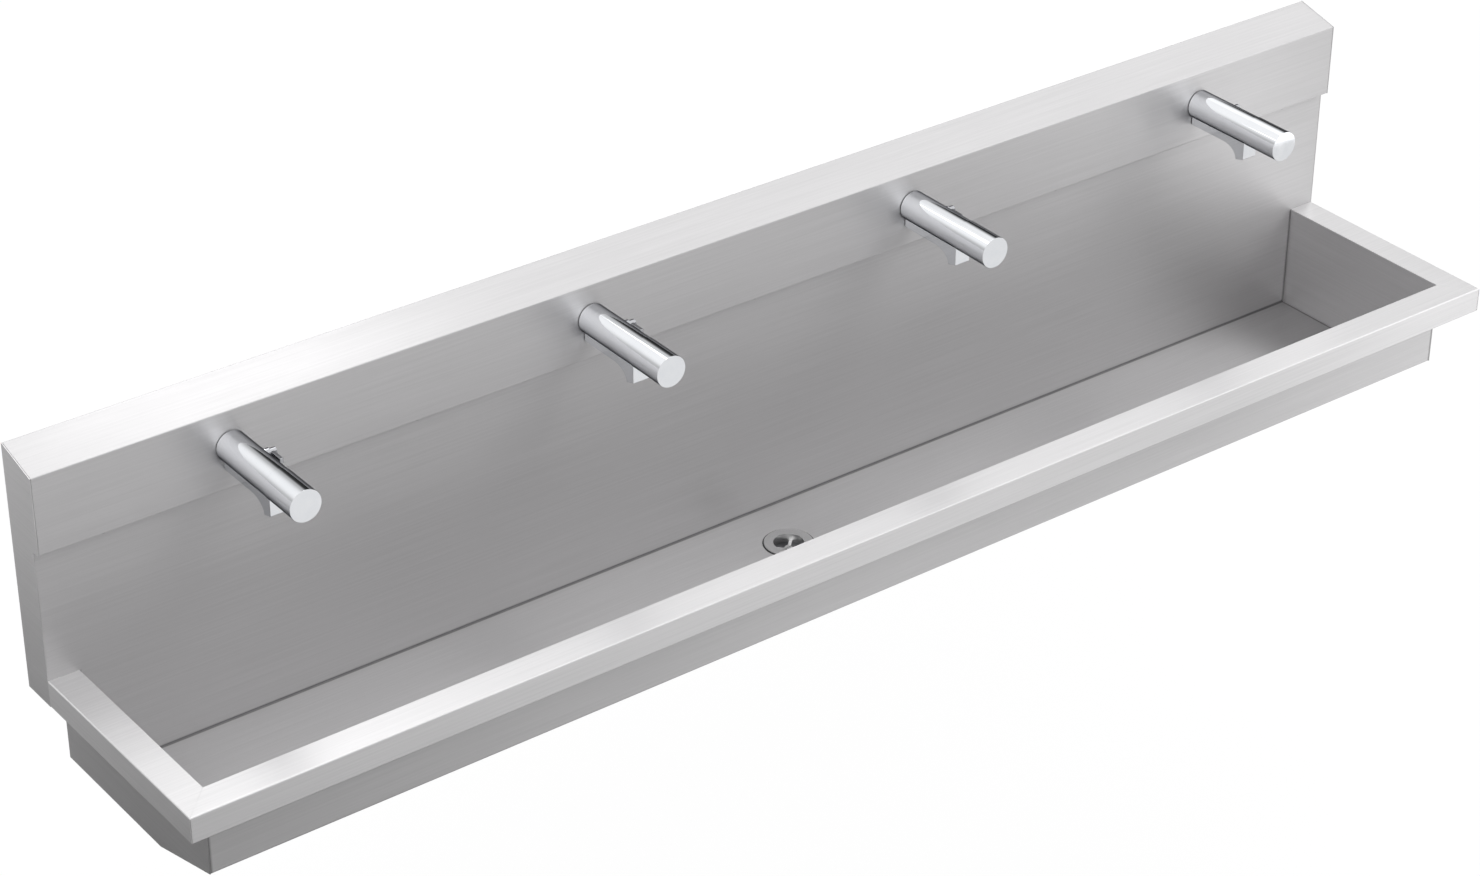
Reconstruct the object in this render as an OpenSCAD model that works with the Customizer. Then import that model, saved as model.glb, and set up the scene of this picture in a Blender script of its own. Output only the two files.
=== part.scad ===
// Wall-hung trough sink of folded stainless sheet, with a spout-bodied self-closing tap at each place.
// X runs along the wall and +Z is up. The wall is the plane Y = 0, and the bowl lies at minus Y.
// The origin is on the wall, in the middle of the width, level with the top of the rim.

/* [Trough] */
// Width over the two end cheeks
trough_w = 2400; // [2300:20:3000]
// Depth from the wall to the front edge of the rim
trough_d = 450; // [420:5:500]
// Height of the bowl at its ends, from the top of the rim to the underside
bowl_h = 179.5; // [165:0.5:240]
// Height of the upright part of the bowl's front wall
front_wall_h = 141.5; // [110:0.5:155]
// Level part of the floor, from the splashback to the front slope
floor_d = 200; // [180:5:230]
// Fall of the floor from its edges to the drain
floor_fall = 4; // [2:0.5:10]
// Thickness of the folded sheet
sheet_t = 1.5; // [1:0.1:2]

/* [Rim] */
// Width of the rim at the two ends
rim_side_w = 48; // [40:1:70]
// Width of the rim at the front
rim_front_w = 50; // [40:1:70]
// Height of the rim's turned-down edge
rim_drop = 42; // [30:1:60]
// Width of the lip turned in under that edge
rim_lip = 10; // [6:1:20]

/* [Splashback and service cover] */
// Distance from the wall to the face of the splashback
splash_y = 62.5; // [60:0.5:70]
// Reach of the splashback behind the cover, above the cover's lower edge
splash_lap = 31; // [16:1:35]
// Width of the fold at the splashback's top edge
splash_fold = 10; // [6:1:11]
// Distance from the wall to the front of the service cover
cover_d = 77; // [76:0.5:90]
// Height of the cover's top at its front edge
cover_front_h = 330; // [320:1:380]
// Rise of the cover's top from its front edge to the wall
cover_rise = 20; // [16:1:50]
// Height of the cover's front face
cover_face_h = 121; // [118:1:135]
// Length of the fold that hooks the cover over the wall rail
cover_hook = 15; // [10:1:18]

/* [Taps] */
// Distance of the taps' axis below the cover's front edge
tap_drop = 55; // [48:1:57]
// Length of a tap from the cover to its front face
tap_len = 195.5; // [190:0.5:215]
// Radius of the push cap
cap_r = 24.6; // [24:0.1:28]
// Wall of the push cap's skirt
cap_wall = 0.6; // [0.5:0.1:1]
// Length of the push cap
cap_len = 68.5; // [60:0.5:69]
// Travel of the push cap
cap_travel = 4; // [3:0.5:4]
// Width of the spout and of the rib that it hangs from
spout_w = 28; // [24:1:30]
// Distance from the cover to the front of the spout
spout_reach = 122; // [118:1:122]
// Drop of the spout's front edge below the tap's axis
spout_drop = 49; // [44:1:52]

/* [Temperature selector] */
// Distance from the cover to the selector's axis
selector_reach = 48; // [44:1:56]
// Radius of the selector's disc
selector_r = 8; // [7:0.5:9]
// Reach of the selector's lever from its axis
lever_len = 29; // [24:1:34]

/* [Waste] */
// Radius of the waste's flange
waste_flange_r = 38.5; // [36:0.5:42]
// Radius of the waste's open mouth
waste_mouth_r = 23.5; // [22:0.5:24]
// Outer radius of the tail that the trap screws to
tail_r = 23.9; // [20:0.1:24]
// Wall of the tail
tail_wall = 3; // [2:0.5:4]
// Length of the tail below its cup
tail_len = 45; // [35:1:70]

/* [Wall fixings] */
// Distance from the trough's ends to the outer bolt holes of the wall rails
wall_hole_inset = 150; // [100:50:250]
// Distance between the inner bolt holes of the wall rails
wall_holes_inner = 900; // [700:50:1000]
// Radius of each bolt hole
wall_hole_r = 5.5; // [4:0.5:7]
// Distance from the trough's ends to the middle of each bracket under the bowl
bracket_inset = 400; // [250:50:500]
// Depth of the brackets
bracket_d = 250; // [230:5:260]
// Height of the brackets
bracket_h = 105; // [90:5:140]

/* [Water supply] */
// Outer radius of the two supply pipes
pipe_r = 11; // [9:0.5:11]
// Radius of the threads at the pipes' inlets
inlet_r = 10.48; // [8:0.01:10.5]
// Distance between the two inlets
inlet_pitch = 150; // [120:5:200]
// Distance of the cold pipe below the taps' axis
cold_drop = 115; // [110:1:120]
// Distance of the hot pipe below the taps' axis
hot_drop = 155; // [150:1:165]

/* [Hidden] */
tap_count = 4;
SHEET_NODES = [
  "bowl_sheet", "bowl_end_left", "bowl_end_right", "end_cheek_left", "end_cheek_right", "rim_front",
  "service_cover", "cover_clips", "cover_screws", "wall_rail_top", "wall_rail_mid", "housing_ribs",
  "support_brackets", "bracket_pads"
];
SERVICE_NODES = [
  "cold_manifold", "hot_manifold", "pipe_grommets", "waste_strainer", "waste_seal", "waste_gasket",
  "waste_tail", "waste_screw", "tap_gaskets", "lock_nuts", "inlet_blocks"
];
TAP_NODES = [
  "tap_body", "push_cap", "push_rod", "cartridge", "return_spring", "aerator", "selector", "hoses"
];

steel = [0.74, 0.74, 0.75];
dull_steel = [0.6, 0.6, 0.62];
chrome = [0.85, 0.86, 0.88];
brass = [0.75, 0.62, 0.35];
rubber = [0.12, 0.12, 0.13];
plastic = [0.25, 0.25, 0.27];

// One overrun serves every cut, and one small gap keeps pieces that only meet from biting.
over = 1;
meet_gap = 0.3;

// Frame of the trough: half widths, and depths from the wall.
half_w = trough_w / 2;
cheek_x = half_w - sheet_t;
bowl_x = half_w - rim_side_w;
bowl_front = trough_d - rim_front_w;
splash_back = splash_y - sheet_t;
cover_back_h = cover_front_h + cover_rise;
cover_low_h = cover_front_h - cover_face_h;
splash_h = cover_low_h + splash_lap;
tap_pitch = trough_w / tap_count;
tap_z = cover_front_h - tap_drop;
floor_front = splash_y + floor_d;
floor_z = bowl_h - sheet_t;
slope_rise = (bowl_h - front_wall_h) / (bowl_front + sheet_t - floor_front);
front_foot_z = floor_z - slope_rise * (bowl_front - floor_front);
rim_corner = rim_front_w - sheet_t * rim_front_w / rim_side_w;
end_panel_back = 5;

// The flat square round the drain, in the middle of the level floor.
drain_y = splash_y + floor_d / 2;
sump_margin = 1;
sump_half = waste_flange_r + sump_margin;
sump_z = floor_z + floor_fall;

// The service cover's sloping top: its height at a distance from the wall.
function cover_h(y) = cover_back_h - (cover_back_h - cover_front_h) * y / cover_d;
cover_gap = 0.5;
clip_w = 24;
clip_h = 18;
clip_inset = 100;
clip_xs = [clip_inset - half_w, -tap_pitch, 0, tap_pitch, half_w - clip_inset];
clip_y = (cover_d + splash_y) / 2;
cover_screw_r = 2;
cover_screw_head_r = 3.8;
cover_screw_head_h = 2.4;
cover_screw_len = 11;
screw_fit = 0.3;
thread_fit = 0.1;

// Wall rails and ribs.
top_rail_t = 2;
top_rail_step = 3;
top_rail_joggle_drop = 30;
top_rail_joggle = cover_back_h - top_rail_joggle_drop;
mid_rail_t = 3;
mid_rail_h = 50;
wall_hole_drop = 55;
wall_holes_z = cover_back_h - wall_hole_drop;
wall_holes_outer = trough_w - 2 * wall_hole_inset;
top_rail_margin = 25;
top_rail_foot = wall_holes_z - top_rail_margin;
rib_t = 2;
rib_foot_gap = 9.5;
rib_foot = bowl_h - rib_foot_gap;
rib_xs = [-tap_pitch, 0, tap_pitch];
rib_head_d = 50;
rib_relief = 4;

// Brackets.
bracket_pitch = trough_w - 2 * bracket_inset;
bracket_w = 60;
bracket_t = 4;
bracket_top = sump_z + sheet_t + meet_gap;
bracket_hole_inset = 18;
bracket_hole_drop = 75;
bracket_gusset_d = 220;
pad_w = 40;
pad_near = 110;
pad_far = 220;
pad_gap = 0.1;

// Supply pipes: their distances from the wall clear each other and the splashback.
cold_z = tap_z - cold_drop;
hot_z = tap_z - hot_drop;
cold_y = 45;
hot_y = 18;
pipe_wall = 1.5;
pipe_overhang = 40;
branch_r = 6.5;
branch_h = 10;
branch_bore_r = 4;
branch_x = 13;
inlet_len = 40;
inlet_foot = hot_z - inlet_len;
inlet_thread_len = 18;
inlet_shoulder_r = 13;
inlet_shoulder_h = 6;
inlet_neck_r = 9.5;
inlet_bore_r = 7.5;
grommet_fit = 0.1;
grommet_wall = 2;
grommet_flange = 2;
grommet_lip = 2;

// Taps: distances are from the cover's front.
gasket_t = 1;
gasket_inset = 2;
shank_r = 14;
shank_hole_fit = 0.5;
shank_len = 31;
shank_bore_r = 8;
body_fit = 0.1;
body_r = cap_r - cap_wall - body_fit;
cap_hollow = 10;
body_front = tap_len - cap_hollow;
chamber_r = 16;
chamber_depth = 112;
cap_face_t = 2.5;
cap_boss_r = 6.5;
cap_boss_h = 8;
rod_r = 3;
rod_fit = 0.1;
rod_end = 97;
cartridge_fit = 0.2;
cartridge_front = 173;
cartridge_neck_r = 12;
cartridge_neck_h = 6;
spring_wire_r = 0.9;
spring_r = 8.5;
spring_turns = 6;
spring_sides = 6;
spring_steps = 10;
rib_drop = 33;
spout_t = 17;
spout_rake = 5;
spout_back = spout_reach - spout_t;
spout_back_drop = spout_drop + spout_rake;
spout_curve_start = 73;
spout_curve_steps = 10;
outlet_r = 7;
outlet_depth = 13;
outlet_tilt = atan((spout_back_drop - spout_drop) / (spout_reach - spout_back));
water_way_r = 5;
aerator_fit = 0.1;
aerator_rim = 1.6;
aerator_recess = 1.2;
aerator_bar = 1;
aerator_inset = 0.4;
nut_r = 21;
nut_t = 8;
nut_gap = 0.1;
block_w = 44;
block_d = 26;
block_h = 24;
block_stub_h = 8;
block_back = cover_d + gasket_t - shank_len;
block_way_y = block_back - block_d / 2;
block_cross_r = 3;
block_mouth_r = 5;

// Selector: distances are from the tap's axis.
selector_boss_r = 9;
selector_boss_x = 25.2;
selector_stem_r = 4;
selector_stem_fit = 0.1;
selector_stem_in = 11;
selector_disc_t = 6;
selector_hub_r = 6;
selector_hub_t = 10;
lever_w = 8;
lever_t = 5.5;

// Hoses.
hose_r = 4.5;
hose_nut_r = 9;
hose_nut_h = 13;
hose_steps = 5;
hose_sides = 10;

// Waste.
seal_t = 0.5;
seal_inset = 1.5;
waste_face_t = 1.6;
waste_cup_wall = 1.5;
waste_cup_r = waste_mouth_r + waste_cup_wall;
waste_cup_h = 13;
waste_hole_fit = 2;
waste_hole_r = waste_cup_r + waste_hole_fit;
strainer_t = 2;
strainer_hub_r = 8;
strainer_arm_w = 5;
strainer_arms = 4;
waste_gasket_t = 3;
tail_cup_wall = 3;
tail_cup_rim = 4;
tail_cup_r = waste_hole_r + tail_cup_rim;
tail_flange_inset = 1;
tail_flange_r = waste_flange_r - tail_flange_inset;
tail_cup_h = 20;
tail_bridge_w = 8;
tail_bridge_t = 4;
tail_hub_r = 6;
tail_hub_h = 8;
waste_screw_r = 3;
waste_screw_head_r = 6;
waste_screw_head_h = 3;
waste_slot_w = 1.4;
waste_slot_h = 1.2;
tail_top = sump_z + sheet_t + waste_gasket_t;
tail_cup_floor = tail_top + tail_cup_h;
tail_low = tail_cup_floor + tail_len;
strainer_z = sump_z - seal_t + waste_cup_h - strainer_t;

// Draws an outline of points (distance from the wall, height) and carries it along X from x0 to x1.
module along_x(x0, x1, outline) {
  translate([x0, 0, 0])
    rotate([90, 0, 90])
      linear_extrude(height = x1 - x0)
        polygon([for (p = outline) [-p[0], p[1]]]);
}

// A cylinder from point to point along X, or along Y away from the wall.
module rod_x(x0, x1, y, z, r) {
  translate([x0, -y, z]) rotate([0, 90, 0]) cylinder(h = x1 - x0, r = r, $fn = 64);
}
module rod_y(y0, y1, x, z, r) {
  translate([x, -y0, z]) rotate([90, 0, 0]) cylinder(h = y1 - y0, r = r, $fn = 64);
}
module rod_z(z0, z1, x, y, r) {
  translate([x, -y, z0]) cylinder(h = z1 - z0, r = r, $fn = 64);
}

// Centre line of each tap.
function tap_x(i) = (i - (tap_count + 1) / 2) * tap_pitch;
module at_taps() {
  for (i = [1 : tap_count]) translate([tap_x(i), 0, 0]) children();
}

// The floor is one creased sheet: four slopes fall from its edges to the flat square round the drain.
module floor_sheet() {
  rim_points = [
    [-bowl_x, -splash_back, -floor_z], [bowl_x, -splash_back, -floor_z],
    [bowl_x, -floor_front, -floor_z], [-bowl_x, -floor_front, -floor_z]
  ];
  sump_points = [
    [-sump_half, -drain_y + sump_half, -sump_z], [sump_half, -drain_y + sump_half, -sump_z],
    [sump_half, -drain_y - sump_half, -sump_z], [-sump_half, -drain_y - sump_half, -sump_z]
  ];
  top = concat(rim_points, sump_points);
  under = [for (p = top) p - [0, 0, sheet_t]];
  n = len(top);
  slopes = [for (k = [0 : 3]) [k, (k + 1) % 4, 4 + (k + 1) % 4, 4 + k]];
  faces = concat(
    slopes,
    [[4, 5, 6, 7]],
    [for (f = slopes) [for (j = [3 : -1 : 0]) f[j] + n]],
    [[n + 7, n + 6, n + 5, n + 4]],
    [for (k = [0 : 3]) [(k + 1) % 4, k, n + k, n + (k + 1) % 4]]
  );
  polyhedron(points = concat(top, under), faces = faces, convexity = 4);
}

module bowl_sheet() color(steel) difference() {
  union() {
    // Splashback above the rim, between the cheeks, and below it, between the bowl's ends
    along_x(-cheek_x, cheek_x, [
      [splash_y, 0], [splash_back, 0], [splash_back, splash_h - sheet_t],
      [splash_y - splash_fold, splash_h - sheet_t], [splash_y - splash_fold, splash_h], [splash_y, splash_h]
    ]);
    along_x(-bowl_x, bowl_x, [
      [splash_y, 0], [splash_back, 0], [splash_back, -bowl_h], [splash_y, -bowl_h]
    ]);
    floor_sheet();
    // Front slope and front wall
    along_x(-bowl_x, bowl_x, [
      [floor_front, -floor_z], [bowl_front, -front_foot_z], [bowl_front, -sheet_t],
      [bowl_front + sheet_t, -sheet_t], [bowl_front + sheet_t, -front_wall_h], [floor_front, -bowl_h]
    ]);
  }
  rod_z(-sump_z - sheet_t - over, -sump_z + over, 0, drain_y, waste_hole_r);
}

module bowl_end() color(steel) along_x(bowl_x, bowl_x + sheet_t, [
  [end_panel_back, -sheet_t], [bowl_front + sheet_t, -sheet_t], [bowl_front + sheet_t, -front_wall_h],
  [floor_front, -bowl_h], [end_panel_back, -bowl_h]
]);

// One folded sheet: the upright cheek, the end strip of the rim and the lip under its edge.
module end_cheek() color(steel) {
  along_x(cheek_x, half_w, [
    [0, cover_back_h], [cover_d, cover_front_h], [cover_d, cover_low_h], [splash_y, cover_low_h],
    [splash_y, 0], [trough_d, 0], [trough_d, -rim_drop], [0, -rim_drop]
  ]);
  translate([0, 0, -sheet_t])
    linear_extrude(height = sheet_t)
      polygon([
        [bowl_x, -splash_back], [bowl_x, -bowl_front], [cheek_x, -bowl_front - rim_corner],
        [cheek_x, -splash_back]
      ]);
  along_x(cheek_x - rim_lip, cheek_x, [
    [end_panel_back, -rim_drop], [end_panel_back, sheet_t - rim_drop],
    [trough_d - rim_lip - sheet_t - over, sheet_t - rim_drop],
    [trough_d - rim_lip - sheet_t - over, -rim_drop]
  ]);
}

// The front strip of the rim meets the end strips at mitres.
module rim_front() color(steel) {
  translate([0, 0, -sheet_t])
    linear_extrude(height = sheet_t)
      polygon([
        [-bowl_x, -bowl_front], [bowl_x, -bowl_front], [cheek_x, -bowl_front - rim_corner],
        [cheek_x, -trough_d], [-cheek_x, -trough_d], [-cheek_x, -bowl_front - rim_corner]
      ]);
  along_x(-cheek_x, cheek_x, [
    [trough_d, -sheet_t], [trough_d - sheet_t, -sheet_t], [trough_d - sheet_t, sheet_t - rim_drop],
    [trough_d - rim_lip - sheet_t, sheet_t - rim_drop], [trough_d - rim_lip - sheet_t, -rim_drop],
    [trough_d, -rim_drop]
  ]);
}

// The removable front of the housing: it hooks over the wall rail and is screwed from below.
module service_cover() color(steel) difference() {
  along_x(-cheek_x + cover_gap, cheek_x - cover_gap, [
    [0, cover_back_h], [cover_d, cover_front_h], [cover_d, cover_low_h],
    [splash_y + cover_gap, cover_low_h], [splash_y + cover_gap, cover_low_h + sheet_t],
    [cover_d - sheet_t, cover_low_h + sheet_t], [cover_d - sheet_t, cover_h(cover_d - sheet_t) - sheet_t],
    [sheet_t, cover_h(sheet_t) - sheet_t], [sheet_t, cover_back_h - cover_hook],
    [0, cover_back_h - cover_hook]
  ]);
  at_taps() rod_y(cover_d - sheet_t - over, cover_d + over, 0, tap_z, shank_r + shank_hole_fit);
  for (x = clip_xs)
    rod_z(cover_low_h - over, cover_low_h + sheet_t + over, x, clip_y, cover_screw_r + screw_fit);
}

// Small angles on the splashback's face that take the cover's screws.
module cover_clips() color(dull_steel) for (x = clip_xs) difference() {
  along_x(x - clip_w / 2, x + clip_w / 2, [
    [splash_y, cover_low_h + sheet_t + meet_gap], [splash_y, cover_low_h + clip_h],
    [splash_y + sheet_t, cover_low_h + clip_h],
    [splash_y + sheet_t, cover_low_h + 2 * sheet_t + meet_gap],
    [cover_d - 2 * sheet_t, cover_low_h + 2 * sheet_t + meet_gap],
    [cover_d - 2 * sheet_t, cover_low_h + sheet_t + meet_gap]
  ]);
  rod_z(cover_low_h, cover_low_h + 2 * sheet_t + meet_gap + over, x, clip_y, cover_screw_r + thread_fit);
}

module cover_screws() color(dull_steel) for (x = clip_xs) {
  rod_z(cover_low_h - cover_screw_head_h, cover_low_h, x, clip_y, cover_screw_head_r);
  rod_z(cover_low_h, cover_low_h - cover_screw_head_h + cover_screw_len, x, clip_y, cover_screw_r);
}

// The upper rail is bolted to the wall, and its joggled edge carries the cover's hook.
module wall_rail_top() color(dull_steel) difference() {
  hook_y = top_rail_t + top_rail_step;
  hook_top = cover_h(hook_y) - sheet_t - meet_gap;
  along_x(-cheek_x, cheek_x, [
    [0, top_rail_foot], [0, top_rail_joggle + top_rail_t], [top_rail_step, top_rail_joggle + top_rail_t],
    [top_rail_step, hook_top], [hook_y, hook_top], [hook_y, top_rail_joggle], [top_rail_t, top_rail_joggle],
    [top_rail_t, top_rail_foot]
  ]);
  for (pitch = [wall_holes_outer, wall_holes_inner], side = [-1, 1])
    rod_y(-over, top_rail_t + over, side * pitch / 2, wall_holes_z, wall_hole_r);
}

module wall_rail_mid() color(dull_steel) difference() {
  along_x(-cheek_x, cheek_x, [
    [0, -mid_rail_h / 2], [0, mid_rail_h / 2], [mid_rail_t, mid_rail_h / 2], [mid_rail_t, -mid_rail_h / 2]
  ]);
  for (pitch = [wall_holes_outer, wall_holes_inner], side = [-1, 1])
    rod_y(-over, mid_rail_t + over, side * pitch / 2, 0, wall_hole_r);
}

// Upright plates between the wall rails and the splashback, with a hole for each supply pipe.
module housing_ribs() color(dull_steel) for (x = rib_xs) difference() {
  hook_y = top_rail_t + top_rail_step + over;
  along_x(x - rib_t / 2, x + rib_t / 2, [
    [mid_rail_t, -rib_foot], [splash_back, -rib_foot], [splash_back, splash_h - sheet_t],
    [rib_head_d, splash_h - sheet_t], [rib_head_d, cover_h(rib_head_d) - sheet_t - meet_gap],
    [hook_y, cover_h(hook_y) - sheet_t - meet_gap], [hook_y, top_rail_joggle - rib_relief],
    [top_rail_t, top_rail_joggle - rib_relief], [top_rail_t, mid_rail_h / 2 + rib_relief],
    [mid_rail_t, mid_rail_h / 2 + rib_relief]
  ]);
  rod_x(x - rib_t, x + rib_t, cold_y, cold_z, pipe_r + grommet_fit + grommet_wall);
  rod_x(x - rib_t, x + rib_t, hot_y, hot_z, pipe_r + grommet_fit + grommet_wall);
}

// A rubber ring that sits in a rib's hole and holds a pipe.
module grommet(x, y, z) difference() {
  edge = rib_t / 2 + grommet_flange;
  ring = pipe_r + grommet_fit + grommet_wall;
  union() {
    rod_x(x - edge, x - rib_t / 2, y, z, ring + grommet_lip);
    rod_x(x - rib_t / 2, x + rib_t / 2, y, z, ring);
    rod_x(x + rib_t / 2, x + edge, y, z, ring + grommet_lip);
  }
  rod_x(x - edge - over, x + edge + over, y, z, pipe_r + grommet_fit);
}

module pipe_grommets() color(rubber) for (x = rib_xs) {
  grommet(x, cold_y, cold_z);
  grommet(x, hot_y, hot_z);
}

// Cantilever brackets under the bowl, each with two bolt holes beside its gusset.
module support_brackets() color(dull_steel) for (side = [-1, 1]) difference() {
  x = side * bracket_pitch / 2;
  union() {
    along_x(x - bracket_w / 2, x + bracket_w / 2, [
      [0, -bracket_top], [bracket_d, -bracket_top], [bracket_d, -bracket_top - bracket_t],
      [bracket_t, -bracket_top - bracket_t], [bracket_t, -bracket_top - bracket_h],
      [0, -bracket_top - bracket_h]
    ]);
    along_x(x - bracket_t / 2, x + bracket_t / 2, [
      [bracket_t, -bracket_top - bracket_t], [bracket_gusset_d, -bracket_top - bracket_t],
      [bracket_t, -bracket_top - bracket_h]
    ]);
  }
  hole_z = -bracket_top - bracket_hole_drop;
  for (hole_side = [-1, 1])
    rod_y(-over, bracket_t + over, x + hole_side * bracket_hole_inset, hole_z, wall_hole_r);
}

// Rubber pads fill the small height between the brackets and the falling floor.
module bracket_pads() color(rubber) for (side = [-1, 1]) {
  x = side * bracket_pitch / 2;
  fall_share = (bowl_x - bracket_pitch / 2 + pad_w / 2) / (bowl_x - sump_half);
  along_x(x - pad_w / 2, x + pad_w / 2, [
    [pad_near, -bracket_top], [pad_far, -bracket_top],
    [pad_far, -bowl_h - floor_fall * fall_share - pad_gap],
    [pad_near, -bowl_h - floor_fall * fall_share - pad_gap]
  ]);
}

// A closed pipe with a branch for each tap and one threaded inlet that points down.
module supply_pipe(y, z, branch_side, inlet_side) color(dull_steel) difference() {
  end_x = tap_x(tap_count) + pipe_overhang;
  inlet_x = inlet_side * inlet_pitch / 2;
  union() {
    rod_x(-end_x, end_x, y, z, pipe_r);
    for (i = [1 : tap_count])
      rod_z(z, z + pipe_r + branch_h, tap_x(i) + branch_side * branch_x, y, branch_r);
    rod_z(inlet_foot, inlet_foot + inlet_thread_len, inlet_x, y, inlet_r);
    translate([inlet_x, -y, inlet_foot + inlet_thread_len])
      cylinder(h = inlet_shoulder_h, r = inlet_shoulder_r, $fn = 6);
    rod_z(inlet_foot + inlet_thread_len + inlet_shoulder_h, z, inlet_x, y, inlet_neck_r);
  }
  rod_x(-end_x + pipe_wall, end_x - pipe_wall, y, z, pipe_r - pipe_wall);
  for (i = [1 : tap_count])
    rod_z(z, z + pipe_r + branch_h + over, tap_x(i) + branch_side * branch_x, y, branch_bore_r);
  rod_z(inlet_foot - over, z, inlet_x, y, inlet_bore_r);
}

module cold_manifold() supply_pipe(cold_y, cold_z, 1, 1);
module hot_manifold() supply_pipe(hot_y, hot_z, -1, -1);

// The waste's top: a thin flange with a cup, and a strainer that the screw draws down.
module waste_strainer() color(chrome) difference() {
  face_z = -sump_z + seal_t;
  union() {
    difference() {
      union() {
        rod_z(face_z, face_z + waste_face_t, 0, drain_y, waste_flange_r);
        rod_z(-strainer_z - strainer_t, face_z, 0, drain_y, waste_cup_r);
      }
      rod_z(-strainer_z - strainer_t - over, face_z + waste_face_t + over, 0, drain_y, waste_mouth_r);
    }
    intersection() {
      rod_z(-strainer_z - strainer_t, -strainer_z, 0, drain_y, waste_mouth_r + over);
      union() {
        rod_z(-strainer_z - strainer_t, -strainer_z, 0, drain_y, strainer_hub_r);
        for (k = [1 : strainer_arms])
          translate([0, -drain_y, -strainer_z - strainer_t])
            rotate(k * 360 / strainer_arms + 45)
              translate([0, -strainer_arm_w / 2, 0])
                cube([waste_mouth_r + over, strainer_arm_w, strainer_t]);
      }
    }
  }
  rod_z(-strainer_z - strainer_t - over, -strainer_z + over, 0, drain_y, waste_screw_r + screw_fit);
}

module ring_z(z0, z1, r0, r1) difference() {
  rod_z(z0, z1, 0, drain_y, r1);
  rod_z(z0 - over, z1 + over, 0, drain_y, r0);
}

module waste_seal() color(rubber)
  ring_z(-sump_z, -sump_z + seal_t, waste_hole_r + seal_inset, waste_flange_r - seal_inset);

module waste_gasket() color(rubber)
  ring_z(-tail_top, -sump_z - sheet_t, waste_hole_r, waste_flange_r);

// The waste's lower half: flange, cup, the bridge that the screw pulls on, and the threaded tail.
module waste_tail() color(dull_steel) difference() {
  union() {
    ring_z(-tail_top - tail_cup_wall, -tail_top, waste_hole_r, tail_flange_r);
    ring_z(-tail_cup_floor - tail_cup_wall, -tail_top, waste_hole_r, tail_cup_r);
    ring_z(-tail_cup_floor - tail_cup_wall, -tail_cup_floor, tail_r - tail_wall, tail_cup_r);
    ring_z(-tail_low, -tail_cup_floor - tail_cup_wall, tail_r - tail_wall, tail_r);
    intersection() {
      rod_z(-tail_cup_floor - tail_bridge_t, -tail_cup_floor, 0, drain_y, tail_r - tail_wall + over);
      translate([-tail_r, -drain_y - tail_bridge_w / 2, -tail_cup_floor - tail_bridge_t])
        cube([2 * tail_r, tail_bridge_w, tail_bridge_t]);
    }
    rod_z(-tail_cup_floor - tail_hub_h, -tail_cup_floor, 0, drain_y, tail_hub_r);
  }
  rod_z(-tail_cup_floor - tail_hub_h - over, -tail_cup_floor + over, 0, drain_y, waste_screw_r + thread_fit);
}

module waste_screw() color(chrome) difference() {
  slot_z = waste_screw_head_h - waste_slot_h - strainer_z;
  union() {
    rod_z(-tail_cup_floor - tail_hub_h, -strainer_z, 0, drain_y, waste_screw_r);
    rod_z(-strainer_z, -strainer_z + waste_screw_head_h, 0, drain_y, waste_screw_head_r);
  }
  translate([-waste_screw_head_r - over, -drain_y - waste_slot_w / 2, slot_z])
    cube([2 * (waste_screw_head_r + over), waste_slot_w, waste_slot_h + over]);
}

// Rubber washers between the taps and the cover.
module tap_gaskets() color(rubber) at_taps() difference() {
  rod_y(cover_d, cover_d + gasket_t, 0, tap_z, body_r - gasket_inset);
  rod_y(cover_d - over, cover_d + gasket_t + over, 0, tap_z, shank_r + shank_hole_fit);
}

// Hexagon nuts that clamp the taps to the cover from behind.
module lock_nuts() color(brass) at_taps() difference() {
  translate([0, -cover_d + sheet_t + nut_t, tap_z])
    rotate([90, 0, 0])
      cylinder(h = nut_t, r = nut_r, $fn = 6);
  rod_y(cover_d - sheet_t - nut_t - over, cover_d - sheet_t + over, 0, tap_z, shank_r + nut_gap);
}

// The blocks behind the taps, each with a cold and a hot way that point down.
module inlet_blocks() color(brass) at_taps() difference() {
  union() {
    translate([-block_w / 2, -block_back, tap_z - block_h / 2]) cube([block_w, block_d, block_h]);
    for (side = [-1, 1])
      rod_z(tap_z - block_h / 2 - block_stub_h, tap_z - block_h / 2, side * branch_x, block_way_y, branch_r);
  }
  for (side = [-1, 1]) {
    way_low = tap_z - block_h / 2 - block_stub_h - over;
    rod_z(way_low, tap_z + branch_bore_r, side * branch_x, block_way_y, branch_bore_r);
  }
  rod_x(-branch_x, branch_x, block_way_y, tap_z, block_cross_r);
  rod_y(block_way_y, block_back + over, 0, tap_z, block_mouth_r);
}

// The side outline of the spout and the rib along the tap's underside, as distance from the cover and height.
function spout_outline() = concat(
  [[gasket_t, 0], [gasket_t, -rib_drop], [spout_curve_start, -rib_drop]],
  [for (k = [1 : spout_curve_steps])
    let (a = 90 * k / spout_curve_steps)
    [spout_curve_start + (spout_back - spout_curve_start) * sin(a),
     -rib_drop - (spout_back_drop - rib_drop) * (1 - cos(a))]],
  [[spout_reach, -spout_drop], [spout_reach, 0]]
);

// The outlet's place: the middle of the spout's sloping lower face.
module at_outlet() {
  translate([0, -cover_d - (spout_reach + spout_back) / 2, tap_z - (spout_drop + spout_back_drop) / 2])
    rotate([-outlet_tilt, 0, 0])
      children();
}

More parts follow.
